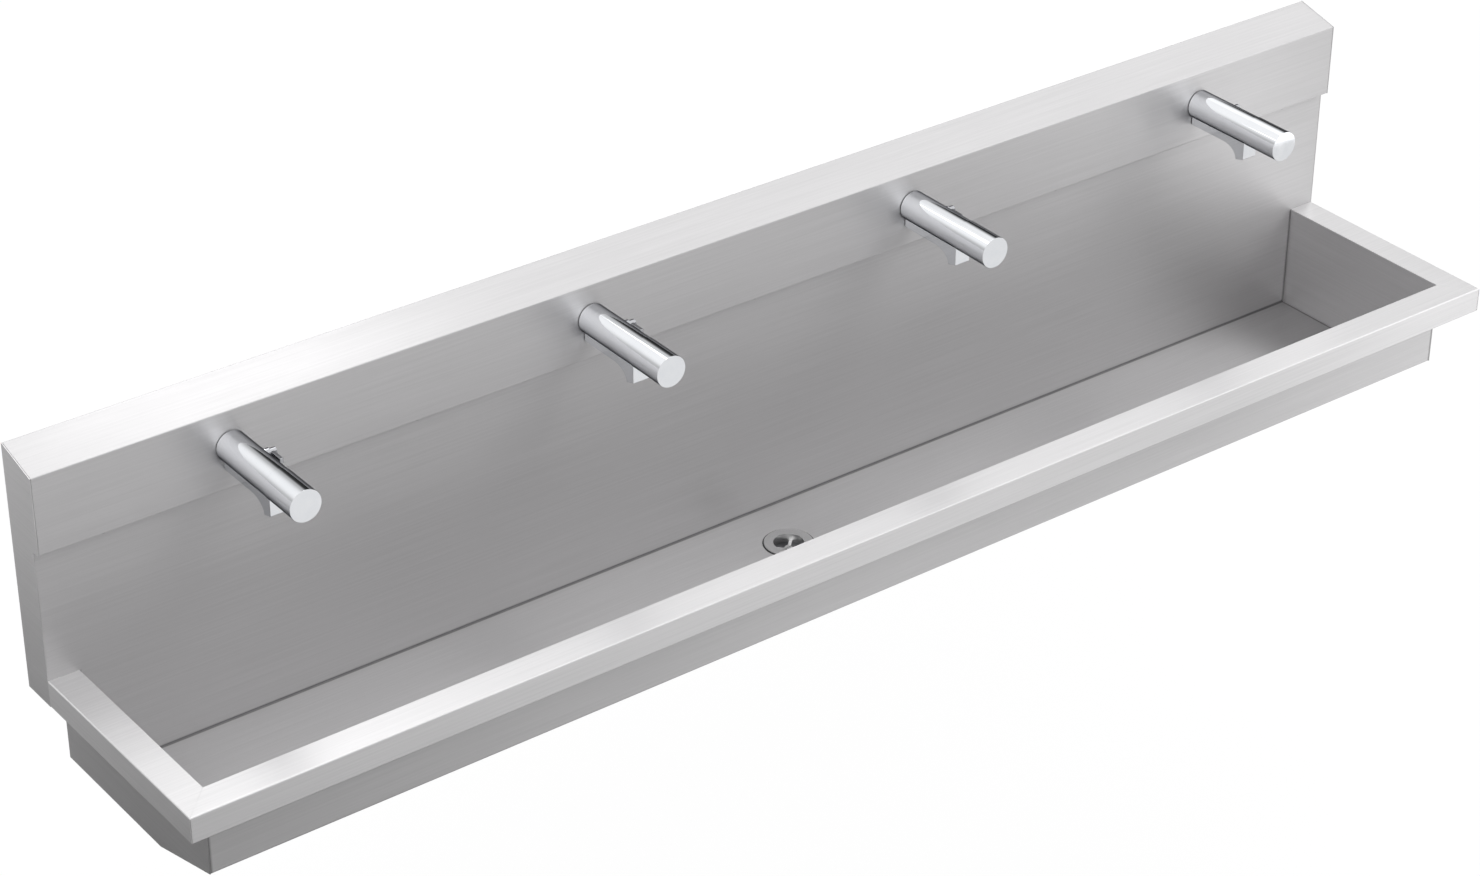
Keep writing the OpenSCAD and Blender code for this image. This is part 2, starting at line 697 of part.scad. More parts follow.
module tap_body() color(chrome) difference() {
  union() {
    rod_y(cover_d + gasket_t, cover_d + body_front, 0, tap_z, body_r);
    rod_y(cover_d + gasket_t - shank_len, cover_d + gasket_t, 0, tap_z, shank_r);
    along_x(-spout_w / 2, spout_w / 2, [for (p = spout_outline()) [cover_d + p[0], tap_z + p[1]]]);
    rod_x(0, selector_boss_x, cover_d + selector_reach, tap_z, selector_boss_r);
  }
  rod_y(cover_d + body_front - chamber_depth, cover_d + body_front + over, 0, tap_z, chamber_r);
  rod_y(cover_d + gasket_t - shank_len - over, cover_d + body_front, 0, tap_z, shank_bore_r);
  rod_x(0, selector_boss_x + over, cover_d + selector_reach, tap_z, selector_stem_r + selector_stem_fit);
  at_outlet() {
    translate([0, 0, -over]) cylinder(h = outlet_depth + over, r = outlet_r + aerator_fit, $fn = 64);
    cylinder(h = spout_drop, r = water_way_r, $fn = 64);
  }
}

module push_cap() color(chrome) {
  back = cover_d + tap_len - cap_len;
  front = cover_d + tap_len;
  difference() {
    rod_y(back, front, 0, tap_z, cap_r);
    rod_y(back - over, front - cap_face_t, 0, tap_z, cap_r - cap_wall);
  }
  difference() {
    rod_y(front - cap_face_t - cap_boss_h, front - cap_face_t, 0, tap_z, cap_boss_r);
    rod_y(front - cap_face_t - cap_boss_h - over, front - cap_face_t, 0, tap_z, rod_r + thread_fit);
  }
}

module push_rod() color(dull_steel) {
  rod_y(cover_d + rod_end, cover_d + tap_len - cap_face_t, 0, tap_z, rod_r);
}

module cartridge() color(brass) difference() {
  back = cover_d + body_front - chamber_depth;
  union() {
    rod_y(back, cover_d + cartridge_front - cartridge_neck_h, 0, tap_z, chamber_r - cartridge_fit);
    rod_y(back, cover_d + cartridge_front, 0, tap_z, cartridge_neck_r);
  }
  rod_y(cover_d + rod_end - cap_travel - over, cover_d + cartridge_front + over, 0, tap_z, rod_r + rod_fit);
}

// A coil spring between the cartridge and the cap: one wire swept along a helix with level end turns.
module return_spring() color(dull_steel) {
  wire = spring_wire_r;
  y0 = cover_d + cartridge_front + meet_gap + wire;
  y1 = cover_d + tap_len - cap_face_t - meet_gap - wire;
  rings = spring_turns * spring_steps;
  points = [for (k = [0 : rings], j = [0 : spring_sides - 1])
    let (
      a = 360 * k / spring_steps,
      b = 360 * j / spring_sides,
      r = spring_r + wire * cos(b),
      y = y0 + (y1 - y0) * k / rings
    )
    [r * cos(a), -y + wire * sin(b), tap_z + r * sin(a)]];
  last = rings * spring_sides;
  faces = concat(
    [[for (j = [0 : spring_sides - 1]) j]],
    [[for (j = [spring_sides - 1 : -1 : 0]) last + j]],
    [for (k = [0 : rings - 1], j = [0 : spring_sides - 1])
      let (m = k * spring_sides, next = (j + 1) % spring_sides)
      [m + j, m + spring_sides + j, m + spring_sides + next, m + next]]
  );
  polyhedron(points = points, faces = faces, convexity = 10);
}

// The outlet's insert: a ring with crossed bars.
module aerator() color(plastic) at_outlet() {
  difference() {
    translate([0, 0, aerator_inset]) cylinder(h = outlet_depth - aerator_inset, r = outlet_r, $fn = 64);
    translate([0, 0, aerator_inset - over])
      cylinder(h = outlet_depth - aerator_inset + 2 * over, r = outlet_r - aerator_rim, $fn = 64);
  }
  intersection() {
    translate([0, 0, aerator_inset + aerator_recess])
      cylinder(h = aerator_recess, r = outlet_r - aerator_rim / 2, $fn = 64);
    union() for (turn = [0, 90])
      rotate(turn)
        for (row = [-1, 0, 1])
          translate([-outlet_r, row * 3 * aerator_bar - aerator_bar / 2, aerator_inset + aerator_recess])
            cube([2 * outlet_r, aerator_bar, aerator_recess]);
  }
}

// The lever on the tap's right side: a stem in the body's boss, a disc, a hub and an arm.
module selector() color(chrome) {
  y = cover_d + selector_reach;
  disc_x = selector_boss_x + meet_gap;
  face_x = disc_x + selector_disc_t;
  rod_x(selector_stem_in, disc_x, y, tap_z, selector_stem_r);
  rod_x(disc_x, face_x, y, tap_z, selector_r);
  rod_x(face_x, face_x + selector_hub_t, y, tap_z, selector_hub_r);
  translate([face_x, -y - lever_len, tap_z - lever_w / 2]) cube([lever_t, lever_len, lever_w]);
}

// A hose that stands on a branch, sways sideways in two equal bends and enters the block from below.
// Each bend turns through the same angle, and the tube runs a little way into both nuts.
module hose(x, y, z0, z1) {
  step = block_way_y - y;
  rise = z1 - z0 - 2 * hose_nut_h;
  bend_r = (rise * rise + step * step) / (4 * abs(step));
  bend = 2 * atan(abs(step) / rise);
  lean = sign(step);
  turns = [for (k = [0 : hose_steps]) bend * k / hose_steps];
  lower = [for (a = turns) [lean * bend_r * (1 - cos(a)), bend_r * sin(a), lean * a]];
  upper = [for (k = [hose_steps - 1 : -1 : 0]) [step - lower[k][0], rise - lower[k][1], lower[k][2]]];
  path = concat([[0, -over, 0]], lower, upper, [[step, rise + over, 0]]);
  translate([x, -y, z0]) {
    cylinder(h = hose_nut_h, r = hose_nut_r, $fn = 6);
    translate([0, -step, rise + hose_nut_h]) cylinder(h = hose_nut_h, r = hose_nut_r, $fn = 6);
    translate([0, 0, hose_nut_h]) hose_tube(path);
  }
}

// A round tube through points that each give the sideways step, the height and the lean from upright.
module hose_tube(path) {
  points = [for (p = path, j = [0 : hose_sides - 1])
    let (a = 360 * j / hose_sides, side = hose_r * cos(a))
    [hose_r * sin(a), -(p[0] + side * cos(p[2])), p[1] - side * sin(p[2])]];
  last = (len(path) - 1) * hose_sides;
  faces = concat(
    [[for (j = [0 : hose_sides - 1]) j]],
    [[for (j = [hose_sides - 1 : -1 : 0]) last + j]],
    [for (k = [0 : len(path) - 2], j = [0 : hose_sides - 1])
      let (m = k * hose_sides, next = (j + 1) % hose_sides)
      [m + j, m + hose_sides + j, m + hose_sides + next, m + next]]
  );
  polyhedron(points = points, faces = faces, convexity = 4);
}

module hoses() color(steel) {
  top = tap_z - block_h / 2 - block_stub_h;
  hose(branch_x, cold_y, cold_z + pipe_r + branch_h, top);
  hose(-branch_x, hot_y, hot_z + pipe_r + branch_h, top);
}

bowl_sheet();
mirror([1, 0, 0]) bowl_end();  // bowl_end_left
bowl_end();  // bowl_end_right
mirror([1, 0, 0]) end_cheek();  // end_cheek_left
end_cheek();  // end_cheek_right
rim_front();
service_cover();
cover_clips();
cover_screws();
wall_rail_top();
wall_rail_mid();
housing_ribs();
support_brackets();
bracket_pads();
cold_manifold();
hot_manifold();
pipe_grommets();
waste_strainer();
waste_seal();
waste_gasket();
waste_tail();
waste_screw();
tap_gaskets();
lock_nuts();
inlet_blocks();
for (i = [1 : tap_count]) translate([tap_x(i), 0, 0]) {
  tap_body();
  push_cap();
  push_rod();
  cartridge();
  return_spring();
  aerator();
  selector();
  hoses();
}
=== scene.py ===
# %% [markdown]
# # A trough sink of folded stainless sheet
#
# The object is a wall-hung washing trough, 2.4 m wide, with a splashback, a service cover above it and
# four chrome taps that are opened with a push on their front caps. The CAD model fixes every size, and
# this file dresses it. Each step says what a piece is on the real object and how it is made here.
# The object's lengths are written in millimetres and turned into metres by `MM`.

import math

import bmesh
import bpy
from mathutils import Matrix, Vector


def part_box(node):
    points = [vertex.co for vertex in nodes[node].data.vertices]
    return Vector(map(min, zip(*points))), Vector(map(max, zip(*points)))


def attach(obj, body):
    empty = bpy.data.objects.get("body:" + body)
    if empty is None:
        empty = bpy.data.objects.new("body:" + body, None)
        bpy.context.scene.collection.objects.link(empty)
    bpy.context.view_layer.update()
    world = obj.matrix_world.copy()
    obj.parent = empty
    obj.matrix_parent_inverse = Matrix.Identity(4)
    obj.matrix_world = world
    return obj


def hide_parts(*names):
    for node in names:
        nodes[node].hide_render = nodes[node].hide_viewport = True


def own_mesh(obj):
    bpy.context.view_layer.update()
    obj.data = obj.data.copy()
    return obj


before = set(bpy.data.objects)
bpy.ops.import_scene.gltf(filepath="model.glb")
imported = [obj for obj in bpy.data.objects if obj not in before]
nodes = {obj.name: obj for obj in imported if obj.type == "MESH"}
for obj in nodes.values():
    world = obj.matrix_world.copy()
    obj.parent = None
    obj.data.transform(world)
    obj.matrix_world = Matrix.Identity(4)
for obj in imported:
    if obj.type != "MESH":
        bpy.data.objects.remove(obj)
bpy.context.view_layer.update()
MM = 0.001

# %% [markdown]
# ## Measures
#
# Every piece made here has to lie where its CAD solid lies. So most sizes are read from the boxes of the
# CAD nodes, in millimetres, and only what a box can't tell is written down as a number. A distance is
# measured from the wall, which is the plane Y = 0, and a height from the top of the rim.

# %% Measures
def box_mm(node):
    """The lowest corner, the highest corner and the middle of a CAD node, in millimetres."""
    low, high = ([round(value / MM, 2) for value in corner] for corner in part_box(node))
    return low, high, [round((a + b) / 2, 2) for a, b in zip(low, high)]


cheek_low, cheek_high, _ = box_mm("end_cheek_right")
cover_low, cover_high, _ = box_mm("service_cover")
BOWL_X, HALF = cheek_low[0], cheek_high[0]
RIM_OUT, RIM_FOOT = -cheek_low[1], cheek_low[2]
COVER_D, COVER_FOOT, COVER_TOP = -cover_low[1], cover_low[2], cover_high[2]
SHEET = 1.5
print("width:", 2 * HALF, "depth:", RIM_OUT, "height above the rim:", COVER_TOP, "sheet:", SHEET)

# %% [markdown]
# ## The camera
#
# The photograph looks down at the trough from its left end with a long lens. A long lens from far away
# keeps the far end almost as large as the near one, which a short lens close by would not. The place
# and the lens were found from the trough's corners.

# %% The camera
view = bpy.data.cameras.new("camera")
view.sensor_width = 36
view.lens = 88.355
view.clip_end = 100
camera = bpy.data.objects.new("camera", view)
camera.location = (-2.90977, -3.88111, 2.82380)
camera.rotation_euler = (1.032704, -0.003201, -0.646082)
bpy.context.scene.collection.objects.link(camera)
bpy.context.scene.camera = camera
bpy.context.scene.view_settings.view_transform = "Standard"
print("lens:", round(view.lens, 1), "mm")

# %% [markdown]
# ## Helpers for materials
#
# A finish starts as one Principled shader. Around it stand a few small nodes that make the surface
# uneven: a noise for the colour, a noise for the roughness and a bump. Noise nodes are the quickest
# way to get wear that looks the same from every side, and they need no picture. A node's socket is
# given either a plain value or another node's output, and one helper does both.

# %% Helpers for materials
def fill(tree, node, values):
    """Gives each named socket of a node its plain value, or links another node's output to it."""
    for socket, value in values.items():
        if isinstance(value, bpy.types.NodeSocket):
            tree.links.new(value, node.inputs[socket])
        else:
            node.inputs[socket].default_value = value


def add(tree, kind, values=None, **settings):
    """One node, with its settings and what its sockets are given."""
    node = tree.nodes.new(kind)
    for key, value in settings.items():
        setattr(node, key, value)
    fill(tree, node, values or {})
    return node


def open_finish(name, **plain):
    """A material with one Principled shader whose plain values are set on its own sockets."""
    finish = bpy.data.materials.new(name)
    finish.use_nodes = True
    shader = finish.node_tree.nodes["Principled BSDF"]
    fill(finish.node_tree, shader, {word.replace("_", " ").title(): value for word, value in plain.items()})
    return finish.node_tree, shader, finish


finishes = {}
print("finishes so far:", len(finishes))

# %% [markdown]
# ## Patterns
#
# A pattern is read at a place on the piece, which a Mapping node can stretch first. Its values pile up
# in the middle, so they are spread before they drive a colour or a roughness.

# %% Patterns
def scaled(tree, source, scale):
    """Coordinates stretched by a Mapping node."""
    return add(tree, "ShaderNodeMapping", {"Vector": source, "Scale": scale}).outputs["Vector"]


def noise(tree, where, detail=3, scale=1):
    """A cloudy pattern with values round one half."""
    pattern = add(tree, "ShaderNodeTexNoise", {"Vector": where, "Scale": scale, "Detail": detail})
    return pattern.outputs["Fac"]


def between(tree, factor, low=0, high=1, start=0.3, end=0.7, **how):
    """Spreads a pattern's values from low to high, while the pattern goes from start to end."""
    spread = add(tree, "ShaderNodeMapRange", {"Value": factor, "From Min": start, "From Max": end,
                                              "To Min": low, "To Max": high}, **how)
    return spread.outputs["Result"]


def reckoned(tree, operation, *values):
    """The result of a Math node."""
    return add(tree, "ShaderNodeMath", dict(enumerate(values)), operation=operation).outputs["Value"]


FACTOR, COLOUR_A, COLOUR_B, MIXED = 0, 6, 7, 2


def tinted(tree, factor, dark, light):
    """A colour from dark to light with a pattern. Each is a plain colour or another node's output."""
    dark, light = ((*colour, 1) if isinstance(colour, tuple) else colour for colour in (dark, light))
    mix = add(tree, "ShaderNodeMix", {FACTOR: factor, COLOUR_A: dark, COLOUR_B: light}, data_type="RGBA")
    return mix.outputs[MIXED]


def bumped(tree, height, strength, depth):
    """A surface direction that a pattern makes uneven by a depth in metres."""
    bump = add(tree, "ShaderNodeBump", {"Height": height, "Strength": strength, "Distance": depth})
    return bump.outputs["Normal"]


print("sockets of a colour Mix node: factor", FACTOR, "colours", COLOUR_A, COLOUR_B, "result", MIXED)

# %% [markdown]
# ## Brushed sheet
#
# The trough is folded from sheet that a belt has ground along its length. The scratches are much finer
# than a pixel, so what is seen is a soft gloss that spreads across the scratches, and faint streaks
# along them. The gloss comes from the shader's anisotropy, whose direction is the u axis of a UV map
# named grain. The streaks are noise stretched along the v axis of the same map. The bowl's inner
# corners get painted shade: their steel colour is darkened there. A vertex attribute marks them.
# The rim gets a painted highlight: its steel colour is lighter, for the light that falls on the rim.
# An attribute marks its faces.

# %% Brushed sheet
tree, shader, finish = open_finish("brushed_sheet_finish", metallic=1, anisotropic=0.85)
grain = add(tree, "ShaderNodeUVMap", uv_map="grain").outputs["UV"]
across = add(tree, "ShaderNodeTangent", direction_type="UV_MAP", uv_map="grain").outputs["Tangent"]
streaks = between(tree, noise(tree, scaled(tree, grain, (300, 4, 1)), 4))
scratches = noise(tree, scaled(tree, grain, (1800, 14, 1)), 3)
clouds = noise(tree, scaled(tree, grain, (7, 2, 1)), 2)
belt = tinted(tree, streaks, (0.54, 0.535, 0.54), (0.58, 0.574, 0.58))
# Painted highlight: the rim's steel is lighter than the rest of the sheet, for the light that falls on it.
rim_highlight_tint = tinted(tree, streaks, (0.645, 0.64, 0.645), (0.695, 0.689, 0.695))
painted_highlight_mask = add(tree, "ShaderNodeAttribute", attribute_name="painted_rim_highlight").outputs["Fac"]
# Painted shade: where this attribute is 1, in the bowl's inner corners, the steel colour is darkened to
# 0.2.
painted_shade_mask = add(tree, "ShaderNodeAttribute", attribute_name="painted_corner_shade").outputs["Fac"]
steel = tinted(tree, painted_shade_mask, tinted(tree, painted_highlight_mask, belt, rim_highlight_tint), (0.2, 0.197, 0.2))
rough = reckoned(tree, "ADD", between(tree, scratches, 0.37, 0.45), between(tree, clouds, 0, 0.05))
fill(tree, shader, {"Base Color": steel, "Roughness": rough, "Tangent": across,
                    "Normal": bumped(tree, scratches, 0.1, 0.0002)})
finishes["brushed_sheet"] = finish
print("brushed sheet:", len(tree.nodes), "nodes")

# %% [markdown]
# ## Chrome
#
# The taps are cast brass, polished and chromed. Chrome is almost a mirror: its colour comes from what
# stands around it, so the shader needs very little roughness. A trace of noise in the roughness stands
# for water spots and wiping marks. The selectors have a darker chrome.

# %% Chrome and polished steel
def polished(slot, stretch, detail, dark, light, rough, **plain):
    """A polished metal with a pattern that reads Object coordinates."""
    tree, shader, finish = open_finish(slot + "_finish", metallic=1, **plain)
    place = add(tree, "ShaderNodeTexCoord").outputs["Object"]
    wiped = noise(tree, scaled(tree, place, stretch), detail)
    fill(tree, shader, {"Base Color": tinted(tree, between(tree, wiped), dark, light),
                        "Roughness": between(tree, wiped, *rough)})
    finishes[slot] = finish


for slot, dark, light in (("tap_chrome", (0.70, 0.715, 0.74), (0.73, 0.74, 0.76)),
                          ("selector_chrome", (0.32, 0.325, 0.34), (0.36, 0.365, 0.38))):
    polished(slot, (60, 25, 60), 4, dark, light, (0.035, 0.07), specular_tint=(0.1, 0.1, 0.11, 1))
polished("polished_steel", (500, 500, 500), 3, (0.62, 0.62, 0.62), (0.68, 0.68, 0.68), (0.28, 0.36))
print("finishes so far:", sorted(finishes))

# %% [markdown]
# ## Plain metals, rubber and plastic
#
# Rails, ribs, brackets and pipes are never seen in use and keep the dull skin that they leave the mill
# with: a grey with faint clouds and a fine grit. The brass blocks and nuts are machined and left raw.
# Pads, grommets and gaskets are black rubber, and the outlet's insert is a grey moulded plastic. All
# these finishes read Object coordinates, because such a skin has no direction.

# %% Plain metals, rubber and plastic
def skin(slot, dark, light, rough, cloud, grit, bump=0.2, detail=4, **plain):
    """A dull finish: clouds in its colour and roughness, and a fine grit on its surface."""
    tree, shader, finish = open_finish(slot + "_finish", **plain)
    place = add(tree, "ShaderNodeTexCoord").outputs["Object"]
    cloudy = noise(tree, place, detail, cloud)
    gritty = noise(tree, place, 2, grit)
    fill(tree, shader, {"Base Color": tinted(tree, between(tree, cloudy), dark, light),
                        "Roughness": between(tree, cloudy, *rough),
                        "Normal": bumped(tree, gritty, bump, 0.0001)})
    finishes[slot] = finish


for slot, dark, light, rough, cloud in (
        ("mill_steel", (0.36, 0.36, 0.37), (0.46, 0.46, 0.47), (0.38, 0.52), 30),
        ("pipe_steel", (0.42, 0.42, 0.43), (0.52, 0.52, 0.53), (0.26, 0.4), 50),
        ("raw_brass", (0.55, 0.40, 0.17), (0.68, 0.52, 0.26), (0.28, 0.42), 90),
        ("spring_steel", (0.40, 0.40, 0.41), (0.50, 0.50, 0.51), (0.2, 0.3), 200)):
    skin(slot, dark, light, rough, cloud, grit=1500, bump=0.15, detail=5, metallic=1)
skin("black_rubber", (0.018, 0.018, 0.02), (0.035, 0.035, 0.037), (0.6, 0.75), cloud=60, grit=900)
skin("outlet_plastic", (0.16, 0.16, 0.17), (0.2, 0.2, 0.21), (0.35, 0.5), cloud=60, grit=1200)
print("finishes so far:", sorted(finishes))

# %% [markdown]
# ## Braid
#
# A hose is covered with a braid of steel wires: two sets of waves that run round the tube in opposite
# directions, read from the hose's own UV map. With it the finishes are complete, and each CAD node gets
# the ones that its record names.

# %% Braid, and the finishes of the CAD nodes
tree, shader, finish = open_finish("hose_braid_finish", metallic=1, roughness=0.35)
along = add(tree, "ShaderNodeUVMap", uv_map="grain").outputs["UV"]
weave = []
for lean in (-1, 1):
    slant = add(tree, "ShaderNodeMapping", {"Vector": along, "Rotation": (0, 0, lean * math.radians(50))})
    wave = add(tree, "ShaderNodeTexWave", {"Vector": slant.outputs["Vector"], "Scale": 190})
    weave.append(wave.outputs["Fac"])
braid = reckoned(tree, "MULTIPLY", *weave)
fill(tree, shader, {"Base Color": tinted(tree, braid, (0.2, 0.2, 0.21), (0.62, 0.62, 0.63)),
                    "Normal": bumped(tree, braid, 0.6, 0.0006)})
finishes["hose_braid"] = finish

for node in nodes.values():
    for slot in node.material_slots:
        slot.material = finishes[slot.material.name.split(".")[0]]
print("finishes:", sorted(finishes))

# %% [markdown]
# ## Folded sheet
#
# A sheet part is drawn as its side outline, the way a folder's drawing shows it. The outline's corners
# are rounded with a vertex bevel, the line is extruded along the wall, and a Solidify modifier gives it
# the sheet's thickness. The other way, a solid box with holes, would need every inner face drawn too.
# The visible side lies on the left of the outline as it is walked with the wall behind and +Z up.

# %% Folded sheet
def only(kind, items):
    """The vertices, edges or faces among what an operator gives back."""
    return [item for item in items if isinstance(item, kind)]


def folded(outline, x0, x1, bend=2.5, steps=4):
    """A strip folded from an outline of (distance from the wall, height) and carried from x0 to x1."""
    bm = bmesh.new()
    corners = [bm.verts.new((x0 * MM, -d * MM, z * MM)) for d, z in outline]
    for pair in zip(corners, corners[1:]):
        bm.edges.new(pair)
    bmesh.ops.bevel(bm, geom=corners[1:-1], offset=bend * MM, segments=steps, profile=0.5,
                    affect="VERTICES", material=-1)
    swept = bmesh.ops.extrude_edge_only(bm, edges=bm.edges[:])
    bmesh.ops.translate(bm, verts=only(bmesh.types.BMVert, swept["geom"]), vec=((x1 - x0) * MM, 0, 0))
    (d0, z0), (d1, z1) = outline[0], outline[1]
    outward = Vector((0, z1 - z0, d1 - d0))
    first = min(bm.faces, key=lambda f: (f.calc_center_median()
                                         - Vector(((x0 + x1) / 2 * MM, -d0 * MM, z0 * MM))).length)
    bmesh.ops.recalc_face_normals(bm, faces=bm.faces[:])
    if first.normal.dot(outward) < 0:
        bmesh.ops.reverse_faces(bm, faces=bm.faces[:])
    return bm


print("sheet parts are", SHEET, "mm thick")

# %% [markdown]
# ## Brushing
#
# A belt grinds the flat sheet before it is folded, so on every face the brushing runs along the trough.
# Only the upright ends are ground from front to back. The UV map grain is worked out face by face from
# that direction, and because it is in metres, the streaks have the same size everywhere.

# %% Brushing
def grained(bm, along=(1, 0, 0)):
    """The UV map grain: v runs along the brushing and u across it, both in metres."""
    bm.normal_update()
    layer = bm.loops.layers.uv.get("grain") or bm.loops.layers.uv.new("grain")
    for face in bm.faces:
        v_axis = Vector(along) - Vector(along).project(face.normal)
        if abs(face.normal.x) > 0.7:
            v_axis = Vector((0, 1, 0)) - Vector((0, 1, 0)).project(face.normal)
        v_axis.normalize()
        u_axis = v_axis.cross(face.normal)
        for loop in face.loops:
            loop[layer].uv = (loop.vert.co.dot(u_axis), loop.vert.co.dot(v_axis))


print("brushing runs along v and the gloss spreads along u")

# %% [markdown]
# ## From mesh to piece
#
# The last step is the same for every piece. Edges that turn by more than a set angle stay sharp, and
# the rest is shaded smooth. Then the mesh becomes an object with its finish, gets the sheet's thickness
# and a small rounding where it needs them, rides on its body, and hides the CAD nodes that it stands for.

# %% From mesh to piece
def piece(bm, name, slot, *stands_for, body="root", sheet=0, edge=0.0, soft=35, crisp=()):
    """Makes the mesh an object, gives it its finish, and hides the CAD nodes that it stands for."""
    for line in bm.edges:
        line.smooth = line.is_manifold and line.calc_face_angle(0) < math.radians(soft) or line.is_boundary
    for line in crisp:
        line.smooth = False
    for face in bm.faces:
        face.smooth = True
    mesh = bpy.data.meshes.new(name)
    bm.to_mesh(mesh)
    bm.free()
    thing = bpy.data.objects.new(name, mesh)
    bpy.context.scene.collection.objects.link(thing)
    mesh.materials.append(finishes[slot])
    if sheet:
        wall = thing.modifiers.new("thickness", "SOLIDIFY")
        wall.thickness = sheet * MM
        wall.offset = -1
        wall.use_even_offset = True
    if edge:
        round_off = thing.modifiers.new("edges", "BEVEL")
        round_off.width = edge * MM
        round_off.segments = 2
        round_off.limit_method = "ANGLE"
        round_off.angle_limit = math.radians(40)
    flat = thing.modifiers.new("flat faces", "WEIGHTED_NORMAL")
    flat.keep_sharp = True
    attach(thing, body)
    if stands_for:
        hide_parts(*stands_for)
    print(f"{name}: {len(mesh.polygons)} faces")
    return thing


print("a piece has one of", len(finishes), "finishes")

# %% [markdown]
# ## Cuts and holes
#
# A plane cuts a mesh, and either trims it or only adds edges. A round hole in a flat face is opened by
# taking the face away and bridging its border to a circle. The border's four sides are divided first, so
# that both have the same number of edges.

# %% Cuts and holes
def cut(bm, point, normal, trim=True):
    """Cuts the mesh with a plane. Trimmed, it keeps the side that the normal points away from."""
    bmesh.ops.bisect_plane(bm, geom=bm.verts[:] + bm.edges[:] + bm.faces[:],
                           plane_co=Vector(point) * MM, plane_no=normal, clear_outer=trim)


SIDE_CUTS = 15


def pierce(bm, face, centre, radius):
    """Opens a round hole in a four-sided face and gives back the hole's edges."""
    normal = face.normal.copy()
    border = list(face.edges)
    bmesh.ops.delete(bm, geom=[face], context="FACES_ONLY")
    finer = bmesh.ops.subdivide_edges(bm, edges=border, cuts=SIDE_CUTS)
    border = only(bmesh.types.BMEdge, finer["geom"])
    turn = normal.to_track_quat("Z", "Y").to_matrix().to_4x4()
    circle = bmesh.ops.create_circle(bm, segments=4 * (SIDE_CUTS + 1), radius=radius * MM,
                                     matrix=Matrix.Translation(Vector(centre) * MM) @ turn)
    hole = [line for line in bm.edges if all(corner in circle["verts"] for corner in line.verts)]
    bmesh.ops.bridge_loops(bm, edges=border + hole)
    bmesh.ops.recalc_face_normals(bm, faces=bm.faces[:])
    return hole


print("a round hole has", 4 * (SIDE_CUTS + 1), "sides")

# %% [markdown]
# ## The bowl
#
# One long sheet makes the splashback, the floor, the front slope and the front wall. Above the rim it
# reaches the cheeks, and below it stops at the bowl's end walls, so the strip is cut at both places
# and the parts outside the bowl are deleted. The outline is the visible side of the sheet, so its corner
# at the foot of the front wall lies a little above the sheet's outer corner there. A few more cuts run
# close to the bowl's corners, so that the painted shade there fades out within 4 mm.

# %% The bowl
_, bowl_high, _ = box_mm("bowl_sheet")
end_low, end_high, _ = box_mm("bowl_end_right")
drain_low, drain_high, drain_middle = box_mm("waste_strainer")
CHEEK, SPLASH_BACK, SPLASH_TOP = bowl_high[0], -bowl_high[1], bowl_high[2]
WALL_D, FLOOR_FRONT, RIM_IN, FRONT_FOOT, FOOT_RISE = 62.5, 262.5, 400, -141.5, 1.1
FLOOR_Z, FLOOR_FALL = end_low[2] + SHEET, 4
SUMP_Z, SUMP_D, SUMP_HALF = FLOOR_Z - FLOOR_FALL, -drain_middle[1], drain_high[0] + 1
PAINTED_SHADE_REACH = 4
bm = folded([(SPLASH_BACK, SPLASH_TOP), (WALL_D, SPLASH_TOP), (WALL_D, FLOOR_Z), (FLOOR_FRONT, FLOOR_Z),
             (RIM_IN, FRONT_FOOT + FOOT_RISE), (RIM_IN, -SHEET)], -CHEEK, CHEEK, bend=1.6)
for x in (-BOWL_X, BOWL_X, PAINTED_SHADE_REACH - BOWL_X, BOWL_X - PAINTED_SHADE_REACH):
    cut(bm, (x, 0, 0), (1, 0, 0), trim=False)
for z in (0, -PAINTED_SHADE_REACH, FLOOR_Z + PAINTED_SHADE_REACH):
    cut(bm, (0, 0, z), (0, 0, 1), trim=False)
cut(bm, (0, -WALL_D - PAINTED_SHADE_REACH, 0), (0, 1, 0), trim=False)
outside = [f for f in bm.faces
           if abs(f.calc_center_median().x) > BOWL_X * MM and f.calc_center_median().z < 0]
bmesh.ops.delete(bm, geom=outside, context="FACES")
print("the bowl's sheet:", len(bm.faces), "faces, floor at", FLOOR_Z, "mm")

# %% [markdown]
# ## The floor and its corners
#
# The floor is creased: it falls from its edges to a small level square, the sump, round the drain.
# Insetting the level face of the floor and pulling the inner corners down to that square gives the same
# four slopes. Then the square is pierced for the drain. The vertices in the bowl's corners are marked
# for the painted shade last, because a new vertex starts without a mark.

# %% The floor and its corners
DRAIN_HOLE_R, FIRST_INSET, FOLD_REACH, SLACK = 27, 20, 3, 0.1
level = max(bm.faces, key=lambda f: f.calc_area() if f.normal.z > 0.99999 else 0)
bmesh.ops.inset_region(bm, faces=[level], thickness=FIRST_INSET * MM, use_boundary=True,
                       use_even_offset=True)
for corner in level.verts:
    corner.co = Vector((math.copysign(SUMP_HALF, corner.co.x),
                        -SUMP_D + math.copysign(SUMP_HALF, corner.co.y + SUMP_D * MM), SUMP_Z)) * MM
creases = [line for corner in level.verts for line in corner.link_edges if line not in level.edges[:]]
bm.normal_update()
pierce(bm, level, (0, -SUMP_D, SUMP_Z), DRAIN_HOLE_R)
if max(bm.faces, key=lambda f: f.calc_area()).normal.y > 0:
    bmesh.ops.reverse_faces(bm, faces=bm.faces[:])
